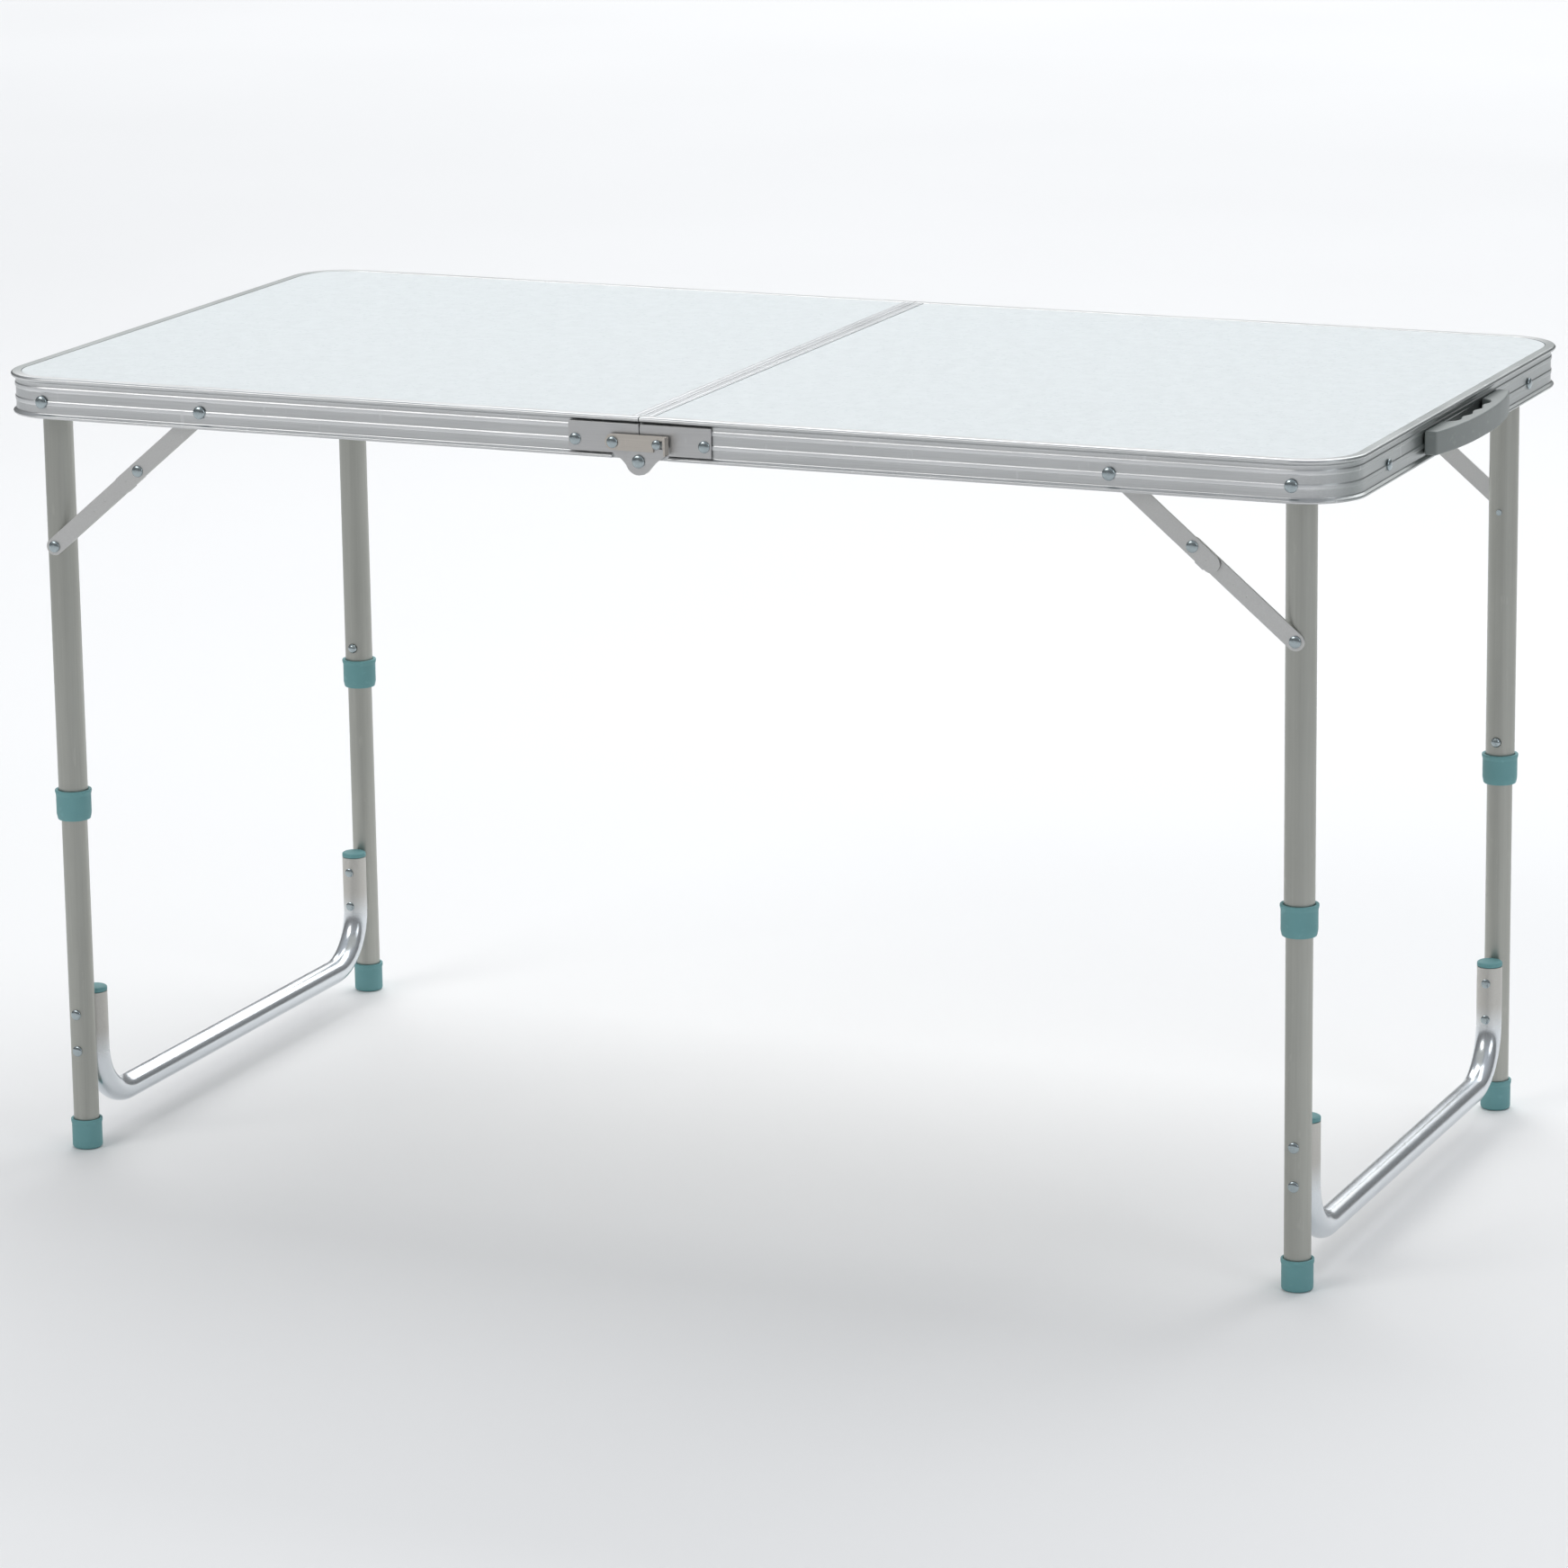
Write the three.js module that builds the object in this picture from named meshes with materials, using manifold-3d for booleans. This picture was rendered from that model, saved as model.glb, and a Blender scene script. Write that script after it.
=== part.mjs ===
// A folding picnic table: two aluminium-framed halves hinged on a centre seam, four telescopic
// legs that fold inwards, and a carrying handle on the right end.
// Millimetres, +X from the left end to the right end, +Z up, the front edge faces -Y.
import * as THREE from "three";
import { mergeVertices } from "three/addons/utils/BufferGeometryUtils.js";
import Module from "manifold-3d";

const wasm = await Module();
wasm.setup();

// ---- Driving dimensions ----
const LENGTH = 1200; // over the lips of the two end rails
const WIDTH = 600; // over the lips of the long rails
const HEIGHT = 680; // floor to the top of the lip
const RAIL_DEPTH = 35;
const CORNER_RADIUS = 50; // outside of the lip
const HALF_SEAM = 0.4; // each half stops this far from the seam

const HINGE_DROP = 1; // hinge pin axis below the rails' bottom edge
const RIVET_RISE = 14; // rivets on the rails, above the rails' bottom edge

const LEG_X = 552; // leg axes from the seam
const LEG_Y = 270; // leg axes from the long centre line
const UPPER_RADIUS = 12.5;
const LOWER_RADIUS = 11;
const TUBE_WALL = 1.2;
const UPPER_END = 296.6; // lower end of the upper tube
const UPPER_RISE = 6; // the upper tube's top above its pivot
const LOWER_END = 4.3; // lower end of the lower tube, inside the foot cap
const LOWER_TOP = 372; // upper end of the lower tube, inside the upper tube

const BRACE_SPREAD = 150; // rail rivet of the brace, inwards from the leg axis
const BRACE_DROP = 126; // leg rivet of the brace, below the leg pivot
const BRACE_SHARE = 86 / 196; // share of the brace's length above its middle joint
const LINK_WIDTH = 15;
const LINK_THICKNESS = 2;
const LINK_TAIL = 20; // the upper link runs on past the middle joint

const UBAR_RADIUS = 11;
const UBAR_Y = LEG_Y - LOWER_RADIUS - UBAR_RADIUS - 0.4;
const UBAR_TOP = 134;
const UBAR_RUN = 34; // height of the U-bar's horizontal run
const UBAR_BEND = 50;
const UBAR_RIVETS = [120.5, 88];

const BUTTON_HEIGHT = 331;
const BUTTON_RADIUS = 4.2;
const BUTTON_TIP = 3; // the button stands this far out of the upper tube

const HANDLE_REACH = 18; // how far the handle stands out from the end lip
const HANDLE_HALF = 100; // half the handle's length
const HANDLE_FOOT = 45; // length of each of the handle's feet along the rail
const HANDLE_GRIP = 10; // thickness of the handle's bar
const FINGER_DEPTH = 1.6; // height of the waves on the bar's inner edge

const PLATE_REACH = 63; // hinge plates, from the seam
const PLATE_THICKNESS = 1.8;
const PLATE_RIVET_X = 57;
const EAR_RADIUS = 11.5;
const LATCH_PIVOT_X = 22;
const LATCH_THICKNESS = 1.6;
const LATCH_TAB = 6; // the finger tab stands this far out of the latch
const CATCH_X = 17; // the stud that the latch hooks over
const HOOK_RADIUS = 3.2; // of the latch's slot round that stud
const END_SCREW_Y = 190;

// ---- Levels and planes that follow from them ----
const RAIL_BOTTOM = HEIGHT - RAIL_DEPTH;
const HINGE_Z = RAIL_BOTTOM - HINGE_DROP;
const PIVOT_Z = RAIL_BOTTOM + RIVET_RISE;
const LIP_Y = WIDTH / 2;
const WALL_OUT = 4; // the rail's wall, measured inwards from the lip
const WALL_IN = 5.5;
const RIB_OUT = 3.4; // the two ribs that stand out of the wall
const SHELF_IN = 13;
const LIP_IN = 9;
const CHANNEL_WALL = 1.5; // the centre rail's upright wall
const PANEL_BOTTOM = RAIL_BOTTOM + 28.5;
const PANEL_SHOULDER = RAIL_BOTTOM + 33.5; // the board's edge, under the lips
const PANEL_TOP = HEIGHT - 0.4;
const PLAY = 0.4; // gap between pieces that turn on each other
const HEAD_SEAT = LIP_Y - RIB_OUT + 0.3; // rivet heads and hinge plates rest just clear of the ribs
const LEG_FACE = LEG_Y + UPPER_RADIUS;
const LOWER_LINK_Y = LEG_FACE + PLAY;
const UPPER_LINK_Y = LOWER_LINK_Y + LINK_THICKNESS + 0.5;
const INNER_PLATE_Y = HEAD_SEAT;
const OUTER_PLATE_Y = INNER_PLATE_Y + PLATE_THICKNESS + 0.3;
const LATCH_Y = OUTER_PLATE_Y + PLATE_THICKNESS + PLAY;
const WALL_INSIDE_Y = LIP_Y - WALL_IN; // inner face of the rail's wall
const BRACE_LEG_Z = PIVOT_Z - BRACE_DROP;
const SHANK_HOLE = 2.8; // radius of the holes for rivets of radius 2.5
const PIVOT_HOLE = 3.3; // radius of the holes for pivots of radius 3

const material = (color, roughness, metalness) =>
  new THREE.MeshStandardMaterial({ color, roughness, metalness });
const RAIL_METAL = material(0xb9bdbd, 0.38, 0.85);
const LEG_METAL = material(0xa9a69d, 0.45, 0.8);
const BRIGHT_METAL = material(0xc3c8cb, 0.25, 0.95);
const STEEL = material(0xb3b5b2, 0.35, 0.9);
const LAMINATE = material(0xe6ecec, 0.5, 0);
const TEAL_PLASTIC = material(0x6a9797, 0.55, 0);
const GREY_PLASTIC = material(0x7f8585, 0.5, 0);

// ---- Solid helpers ----
function solid(geometry) {
  const bare = geometry.index ? geometry : mergeVertices(geometry);
  bare.deleteAttribute("normal");
  bare.deleteAttribute("uv");
  const merged = mergeVertices(bare, 1e-3);
  return new wasm.Manifold(
    new wasm.Mesh({
      numProp: 3,
      vertProperties: merged.attributes.position.array,
      triVerts: new Uint32Array(merged.index.array),
    }),
  );
}

const join = (...solids) => solids.reduce((whole, next) => whole.add(next));
const cut = (whole, ...tools) => tools.reduce((rest, tool) => rest.subtract(tool), whole);

function toGeometry(body) {
  const mesh = body.getMesh();
  const geometry = new THREE.BufferGeometry();
  geometry.setAttribute("position", new THREE.BufferAttribute(mesh.vertProperties, 3));
  geometry.setIndex(new THREE.BufferAttribute(mesh.triVerts, 1));
  geometry.computeVertexNormals();
  return geometry;
}

// An outline given as [x, y] corners.
const outline = (points) => new THREE.Shape(points.map(([x, y]) => new THREE.Vector2(x, y)));

function box(x0, x1, y0, y1, z0, z1) {
  const geometry = new THREE.BoxGeometry(x1 - x0, y1 - y0, z1 - z0);
  return solid(geometry.translate((x0 + x1) / 2, (y0 + y1) / 2, (z0 + z1) / 2));
}

// A shape drawn in X and Y, raised from z0 to z1.
function raise(shape, z0, z1, curveSegments = 8) {
  const geometry = new THREE.ExtrudeGeometry(shape, {
    depth: z1 - z0,
    bevelEnabled: false,
    curveSegments,
  });
  return solid(geometry.translate(0, 0, z0));
}

// A flat piece drawn in X and Z, on the front side, between two distances from the centre line.
function sheet(shape, near, far, curveSegments = 8) {
  const geometry = new THREE.ExtrudeGeometry(shape, {
    depth: far - near,
    bevelEnabled: false,
    curveSegments,
  });
  return solid(geometry.rotateX(Math.PI / 2).translate(0, -near, 0));
}

// A turned piece: [radius, distance] corners, with the distance measured outwards from the centre
// line on the front side, about an axis along Y through (x, z).
function turned(profile, x, z, segments = 10) {
  const points = profile.map(([r, along]) => new THREE.Vector2(r, along));
  const geometry = new THREE.LatheGeometry(points, segments);
  return solid(geometry.rotateX(Math.PI).translate(x, 0, z));
}

// A straight round bar or bore along Y.
const peg = (x, z, radius, near, far) =>
  turned([[0, near], [radius, near], [radius, far], [0, far]], x, z);

// The profile of a domed head, from its seat outwards.
const domed = (radius, seat, height) => [
  [radius, seat],
  [radius * 0.75, seat + height * 0.75],
  [0, seat + height],
];

// A rivet with a domed head at the far side and a flat tail at the near side.
function rivet(x, z, { shank, head, tail, near, tailEnd, seat, dome }) {
  const profile = [
    [0, near],
    [tail, near],
    [tail, tailEnd],
    [shank, tailEnd],
    [shank, seat],
    ...domed(head, seat, dome),
  ];
  return turned(profile, x, z);
}

// A turned piece about a vertical axis through (x, y).
function upright(profile, x, y, segments = 16) {
  const points = profile.map(([r, z]) => new THREE.Vector2(r, z));
  const geometry = new THREE.LatheGeometry(points, segments);
  return solid(geometry.rotateX(Math.PI / 2).translate(x, y, 0));
}

const tube = (x, y, radius, z0, z1) =>
  upright(
    [
      [radius - TUBE_WALL, z0],
      [radius, z0],
      [radius, z1],
      [radius - TUBE_WALL, z1],
      [radius - TUBE_WALL, z0],
    ],
    x,
    y,
  );

// A path of straight runs and round bends that steps exactly at the points it is given.
class SteppedPath extends THREE.Curve {
  constructor(points) {
    super();
    this.points = points;
  }
  getPoint(t) {
    const place = t * (this.points.length - 1);
    const before = Math.min(Math.floor(place), this.points.length - 2);
    return this.points[before].clone().lerp(this.points[before + 1], place - before);
  }
  getPointAt(t) {
    return this.getPoint(t);
  }
  getTangentAt(t) {
    const last = this.points.length - 1;
    const at = Math.round(t * last);
    const before = this.points[Math.max(at - 1, 0)];
    const here = this.points[at];
    const after = this.points[Math.min(at + 1, last)];
    const arriving = here.clone().sub(before).normalize();
    const leaving = after.clone().sub(here).normalize();
    return arriving.add(leaving).normalize();
  }
}

function sweep(shape, points) {
  const geometry = new THREE.ExtrudeGeometry(shape, {
    steps: points.length - 1,
    extrudePath: new SteppedPath(points),
    curveSegments: 5,
  });
  return solid(geometry);
}

// ---- Materials and placing ----
const table = new THREE.Group();
table.name = "folding_picnic_table";
table.position.x = -HANDLE_REACH / 2; // centres the object, handle included, over the origin

const SIDES = [["left", -1], ["right", 1]];
const ROWS = [["front", 1], ["back", -1]];

// Pieces are drawn on the right side and at the front, and mirrored to the other places.
function place(name, body, look, sideSign = 1, rowSign = 1) {
  const mesh = new THREE.Mesh(toGeometry(body), look.clone());
  mesh.name = name;
  mesh.scale.set(sideSign, rowSign, 1);
  table.add(mesh);
}

function placeAtEachEnd(name, body, look) {
  for (const [side, sideSign] of SIDES) place(`${name}_${side}`, body, look, sideSign);
}

function placeAtEachLeg(name, body, look) {
  for (const [side, sideSign] of SIDES) {
    for (const [row, rowSign] of ROWS) {
      place(`${name}_${row}_${side}`, body, look, sideSign, rowSign);
    }
  }
}

// ---- The frame of one half ----
// The rail's section: [distance inwards from the lip, height above the rail's bottom edge].
const RAIL_SECTION = [
  [LIP_IN, 35],
  [1.4, 35],
  [0, 33.4],
  [0.8, 31.4],
  [WALL_OUT, 29.8],
  [WALL_OUT, 26.5],
  [RIB_OUT, 26],
  [RIB_OUT, 23],
  [WALL_OUT, 22.5],
  [WALL_OUT, 15],
  [RIB_OUT, 14.5],
  [RIB_OUT, 11.5],
  [WALL_OUT, 11],
  [WALL_OUT, 4],
  [1.2, 2],
  [1.8, 0],
  [WALL_IN, 0],
  [WALL_IN, 27.2],
  [SHELF_IN, 27.2],
  [SHELF_IN, 28.2],
  [WALL_IN, 28.2],
  [WALL_IN, 33.8],
  [LIP_IN, 33.8],
];

function arcPoints(x, y, radius, from, steps, z) {
  return Array.from({ length: steps + 1 }, (_, step) => {
    const angle = from + (step / steps) * (Math.PI / 2);
    return new THREE.Vector3(x + radius * Math.cos(angle), y + radius * Math.sin(angle), z);
  });
}

function bentRail() {
  const cornerX = LENGTH / 2 - CORNER_RADIUS;
  const cornerY = LIP_Y - CORNER_RADIUS;
  const path = [
    new THREE.Vector3(HALF_SEAM, -LIP_Y, RAIL_BOTTOM),
    ...arcPoints(cornerX, -cornerY, CORNER_RADIUS, -Math.PI / 2, 6, RAIL_BOTTOM),
    ...arcPoints(cornerX, cornerY, CORNER_RADIUS, 0, 6, RAIL_BOTTOM),
    new THREE.Vector3(HALF_SEAM, LIP_Y, RAIL_BOTTOM),
  ];
  // Along this path the section's first axis points down and its second points inwards.
  return sweep(outline(RAIL_SECTION.map(([inwards, up]) => [-up, inwards])), path);
}

// What the brace hangs on: a rivet through the rail with a spacer inside it.
function braceRivet() {
  const upperLinkFar = UPPER_LINK_Y + LINK_THICKNESS;
  return turned(
    [
      [0, UPPER_LINK_Y - 0.25],
      [3, UPPER_LINK_Y - 0.25],
      [3, upperLinkFar + PLAY],
      [5.5, upperLinkFar + PLAY],
      [5.5, WALL_INSIDE_Y + 0.2],
      [3, WALL_INSIDE_Y + 0.2],
      [3, HEAD_SEAT],
      ...domed(5.5, HEAD_SEAT, 2.6),
    ],
    LEG_X - BRACE_SPREAD,
    PIVOT_Z,
  );
}

const mirrored = (body) => body.mirror([0, 1, 0]);

function railWithFittings() {
  const nearLip = LIP_Y - LIP_IN;
  // Cut-outs beside the seam: the shelf for the centre rail, the flare for the hinge ears,
  // and the wall's foot for the hinge pin's tail.
  const shelfNotch = box(0, 11, -LIP_Y + 5.8, -nearLip + 6, RAIL_BOTTOM + 26, RAIL_BOTTOM + 28.5);
  const flareNotch = box(0, 25, -LIP_Y - 1, -LIP_Y + WALL_OUT, RAIL_BOTTOM - 1, RAIL_BOTTOM + 4.2);
  const pinNotch = box(0, 7, -LIP_Y, -LIP_Y + WALL_IN + 1, RAIL_BOTTOM - 1, RAIL_BOTTOM + 6);
  const wallNear = WALL_INSIDE_Y - 1;
  const legHole = peg(LEG_X, PIVOT_Z, PIVOT_HOLE, wallNear, LIP_Y);
  const plateRivets = [PLATE_RIVET_X, CATCH_X, LATCH_PIVOT_X];
  const plateHoles = plateRivets.map((x) => peg(x, PIVOT_Z, SHANK_HOLE, wallNear, LIP_Y));
  const frontTools = [shelfNotch, flareNotch, pinNotch, legHole, ...plateHoles];
  const tools = frontTools.flatMap((tool) => [tool, mirrored(tool)]);
  const endScrew = turned(
    [
      [0, LENGTH / 2 - WALL_IN - 4],
      [2.4, LENGTH / 2 - WALL_IN - 4],
      [2.4, LENGTH / 2 - RIB_OUT],
      ...domed(4.8, LENGTH / 2 - RIB_OUT, 2.4),
    ],
    0,
    PIVOT_Z,
  ).rotate([0, 0, 90]);
  const rivets = braceRivet();
  return join(
    cut(bentRail(), ...tools),
    rivets,
    mirrored(rivets),
    endScrew.translate([0, -END_SCREW_Y, 0]),
    endScrew.translate([0, END_SCREW_Y, 0]),
  );
}

// The channel that closes each half along the seam.
function centreRail() {
  const end = LIP_Y - LIP_IN - 0.3;
  const section = [
    [LIP_IN, 35],
    [0, 35],
    [0, 0],
    [6, 0],
    [6, 1.5],
    [CHANNEL_WALL, 1.5],
    [CHANNEL_WALL, 27.2],
    [LIP_IN, 27.2],
    [LIP_IN, 28.2],
    [CHANNEL_WALL, 28.2],
    [CHANNEL_WALL, 33.8],
    [LIP_IN, 33.8],
  ];
  const shape = outline(section.map(([inwards, up]) => [HALF_SEAM + inwards, RAIL_BOTTOM + up]));
  return sheet(shape, -end, end);
}

// A rectangle with rounded outer corners, a given distance inside the seam and the lip.
function boardShape(near, inset) {
  const far = LENGTH / 2 - inset;
  const side = LIP_Y - inset;
  const radius = CORNER_RADIUS - inset;
  const shape = new THREE.Shape();
  shape.moveTo(near, -side);
  shape.lineTo(far - radius, -side);
  shape.absarc(far - radius, -side + radius, radius, -Math.PI / 2, 0);
  shape.absarc(far - radius, side - radius, radius, 0, Math.PI / 2);
  shape.lineTo(near, side);
  return shape;
}

// The board of one half: its edge is cut down to go under the lips, and its middle stands up
// between them, almost level with their tops.
function panel() {
  const cornerSteps = 3;
  const board = boardShape(HALF_SEAM + CHANNEL_WALL + PLAY, WALL_IN + PLAY);
  const raised = boardShape(HALF_SEAM + LIP_IN + PLAY, LIP_IN + PLAY);
  return join(
    raise(board, PANEL_BOTTOM, PANEL_SHOULDER, cornerSteps),
    raise(raised, PANEL_SHOULDER - 1, PANEL_TOP, cornerSteps),
  );
}

placeAtEachEnd("rail", railWithFittings(), RAIL_METAL);
placeAtEachEnd("centre_rail", centreRail(), RAIL_METAL);
placeAtEachEnd("panel", panel(), LAMINATE);

// ---- Centre hinge and latch ----
// A rivet through a hinge plate and the rail's wall behind it.
const plateRivet = (x, head, seat, dome) =>
  rivet(x, PIVOT_Z, {
    shank: 2.5,
    head,
    tail: 4.4,
    near: WALL_INSIDE_Y - 1.6,
    tailEnd: WALL_INSIDE_Y - 0.3,
    seat,
    dome,
  });

const plateShape = () =>
  outline([
    [0.5, RAIL_BOTTOM + 4.6],
    [PLATE_REACH, RAIL_BOTTOM + 4.6],
    [PLATE_REACH, RAIL_BOTTOM + 29],
    [0.5, RAIL_BOTTOM + 29],
  ]);

// The ear that drops below the rail to the hinge pin.
const earShape = (top) =>
  outline([
    [0, top],
    [0, HINGE_Z - EAR_RADIUS],
    [5, HINGE_Z - EAR_RADIUS + 1],
    [10, HINGE_Z - EAR_RADIUS + 5],
    [15, HINGE_Z - EAR_RADIUS + 11],
    [19, HINGE_Z - EAR_RADIUS + 14],
    [24, RAIL_BOTTOM + 4.8],
    [24, top],
  ]);

const pinHole = peg(0, HINGE_Z, PIVOT_HOLE, INNER_PLATE_Y - 1, LATCH_Y + 1);
const LATCH_FAR = LATCH_Y + LATCH_THICKNESS;
const INNER_PLATE_FAR = INNER_PLATE_Y + PLATE_THICKNESS;
const outerRivet = plateRivet(PLATE_RIVET_X, 5, INNER_PLATE_FAR - 0.1, 2.2);

// The left plates lie on the rail, ear included, and carry the latch's pivot.
function innerPlate() {
  const ear = sheet(earShape(RAIL_BOTTOM + 8), INNER_PLATE_Y, INNER_PLATE_FAR);
  const disc = peg(0, HINGE_Z, EAR_RADIUS, INNER_PLATE_Y, INNER_PLATE_FAR);
  const body = join(sheet(plateShape(), INNER_PLATE_Y, INNER_PLATE_FAR), ear, disc);
  const latchPivot = plateRivet(LATCH_PIVOT_X, 4.8, LATCH_FAR + PLAY, 2);
  return join(cut(body, pinHole), latchPivot, outerRivet);
}

// The right plates step outwards beside the pin, so that their ears lie over the left ones.
function outerPlate() {
  const earFar = OUTER_PLATE_Y + PLATE_THICKNESS;
  const relief = turned(
    [
      [0, INNER_PLATE_Y - 1],
      [EAR_RADIUS + 1, INNER_PLATE_Y - 1],
      [EAR_RADIUS + 1, INNER_PLATE_FAR + 0.1],
      [0, INNER_PLATE_FAR + 0.1],
    ],
    0,
    HINGE_Z,
    20,
  );
  const flat = cut(sheet(plateShape(), INNER_PLATE_Y, INNER_PLATE_FAR), relief);
  const ear = sheet(earShape(RAIL_BOTTOM + 10), OUTER_PLATE_Y, earFar);
  const step = box(16, 24, -earFar, -INNER_PLATE_Y, RAIL_BOTTOM + 4.8, RAIL_BOTTOM + 10);
  const disc = peg(0, HINGE_Z, EAR_RADIUS, OUTER_PLATE_Y, earFar);
  const catchStud = plateRivet(CATCH_X, 4, LATCH_FAR + PLAY, 1.8);
  return join(cut(join(flat, step, ear, disc), pinHole), catchStud, outerRivet);
}

// The latch: a hook that swings on the left plate and drops over the stud on the right one.
function latch() {
  const lower = PIVOT_Z - 6.5;
  const upper = PIVOT_Z + 7;
  const tip = PIVOT_Z - 3.5; // lower end of the hook's claw
  const end = CATCH_X + 10;
  const bar = new THREE.Shape();
  bar.moveTo(-LATCH_PIVOT_X, lower);
  bar.lineTo(CATCH_X - HOOK_RADIUS, lower);
  bar.lineTo(CATCH_X - HOOK_RADIUS, PIVOT_Z);
  bar.absarc(CATCH_X, PIVOT_Z, HOOK_RADIUS, Math.PI, Math.PI / 2, true);
  bar.lineTo(CATCH_X + 5, PIVOT_Z + HOOK_RADIUS);
  bar.lineTo(CATCH_X + 5, tip);
  bar.lineTo(end, tip);
  bar.lineTo(end, upper);
  bar.lineTo(-LATCH_PIVOT_X, upper);
  bar.absarc(-LATCH_PIVOT_X, (lower + upper) / 2, (upper - lower) / 2, Math.PI / 2, -Math.PI / 2);
  const pivotHole = peg(-LATCH_PIVOT_X, PIVOT_Z, SHANK_HOLE, LATCH_Y - 1, LATCH_FAR + 1);
  const tabX = end - LATCH_THICKNESS;
  const tab = box(tabX, end, -LATCH_FAR - LATCH_TAB, -LATCH_Y, PIVOT_Z - 8, upper);
  return join(cut(sheet(bar, LATCH_Y, LATCH_FAR), pivotHole), tab);
}

const hingePin = rivet(0, HINGE_Z, {
  shank: 3,
  head: 5.5,
  tail: 4.6,
  near: WALL_INSIDE_Y + 0.2,
  tailEnd: INNER_PLATE_Y - 0.3,
  seat: OUTER_PLATE_Y + PLATE_THICKNESS + 0.3,
  dome: 2.4,
});

for (const [row, rowSign] of ROWS) {
  place(`hinge_plate_${row}_left`, innerPlate(), STEEL, -1, rowSign);
  place(`hinge_plate_${row}_right`, outerPlate(), STEEL, 1, rowSign);
  place(`hinge_pin_${row}`, hingePin, STEEL, 1, rowSign);
  place(`latch_${row}`, latch(), STEEL, 1, rowSign);
}

// ---- Carrying handle on the right end rail ----
function handle() {
  const seat = LENGTH / 2 - RIB_OUT + 0.3;
  const gap = HANDLE_HALF - HANDLE_FOOT;
  const endReach = 7; // how far the handle's ends stand out from the lip
  const bow = (y) => Math.pow(Math.abs(y) / HANDLE_HALF, 2.4);
  const outer = (y) => LENGTH / 2 + HANDLE_REACH - (HANDLE_REACH - endReach) * bow(y);
  const fingers = (y) => FINGER_DEPTH * Math.cos((y / gap) * 4 * Math.PI);
  const inner = (y) => outer(y) - HANDLE_GRIP - fingers(y);
  const along = (from, to, steps, edge) =>
    Array.from({ length: steps + 1 }, (_, step) => {
      const y = from + ((to - from) * step) / steps;
      return [edge(y), y];
    });
  const points = [
    [seat, -HANDLE_HALF],
    ...along(-HANDLE_HALF + 1, HANDLE_HALF - 1, 24, outer),
    [seat, HANDLE_HALF],
    [seat, gap],
    ...along(gap - 6, -gap + 6, 32, inner),
    [seat, -gap],
  ];
  return raise(outline(points), RAIL_BOTTOM + 5.5, RAIL_BOTTOM + 25);
}

place("handle", handle(), GREY_PLASTIC);

// ---- Legs ----
const CORNER = [LEG_X, -LEG_Y];

// The rivet that a leg turns on, with a spacer between the leg and the rail.
const legPivot = turned(
  [
    [0, LEG_Y - UPPER_RADIUS - 2.2],
    [4.8, LEG_Y - UPPER_RADIUS - 2.2],
    [4.8, LEG_Y - UPPER_RADIUS - 0.4],
    [3, LEG_Y - UPPER_RADIUS - 0.4],
    [3, LEG_FACE + PLAY],
    [6, LEG_FACE + PLAY],
    [6, WALL_INSIDE_Y - 1.2],
    [3, WALL_INSIDE_Y - 1.2],
    [3, HEAD_SEAT],
    ...domed(5.5, HEAD_SEAT, 2.6),
  ],
  LEG_X,
  PIVOT_Z,
);

function upperLeg() {
  const body = tube(...CORNER, UPPER_RADIUS, UPPER_END, PIVOT_Z + UPPER_RISE);
  const pivotHole = peg(LEG_X, PIVOT_Z, PIVOT_HOLE, LEG_Y - 20, LEG_Y + 20);
  const buttonHole = peg(LEG_X, BUTTON_HEIGHT, BUTTON_RADIUS + 0.3, LEG_Y - 20, LEG_Y);
  const braceShank = rivet(LEG_X, BRACE_LEG_Z, {
    shank: 2.5,
    head: 5,
    tail: 4.2,
    near: LEG_Y - UPPER_RADIUS - 1,
    tailEnd: LEG_Y - UPPER_RADIUS + 0.6,
    seat: LOWER_LINK_Y + LINK_THICKNESS + 0.25,
    dome: 2,
  });
  return join(cut(body, pivotHole, buttonHole), braceShank);
}

const collar = upright(
  [
    [LOWER_RADIUS + 0.4, 293],
    [14, 293],
    [15, 298],
    [15, 315],
    [15.7, 317],
    [15.7, 319],
    [UPPER_RADIUS + 0.3, 319],
    [UPPER_RADIUS + 0.3, 296.3],
    [LOWER_RADIUS + 0.4, 296.3],
    [LOWER_RADIUS + 0.4, 293],
  ],
  ...CORNER,
);

// The snap button's head, from its rounded tip to just clear of the lower tube.
const buttonTip = LEG_Y - UPPER_RADIUS - BUTTON_TIP;
const button = turned(
  [
    [0, buttonTip],
    [BUTTON_RADIUS * 0.6, buttonTip + 0.4],
    [BUTTON_RADIUS, buttonTip + 2],
    [BUTTON_RADIUS, LEG_Y - LOWER_RADIUS - PLAY],
    [0, LEG_Y - LOWER_RADIUS - PLAY],
  ],
  LEG_X,
  BUTTON_HEIGHT,
);

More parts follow.
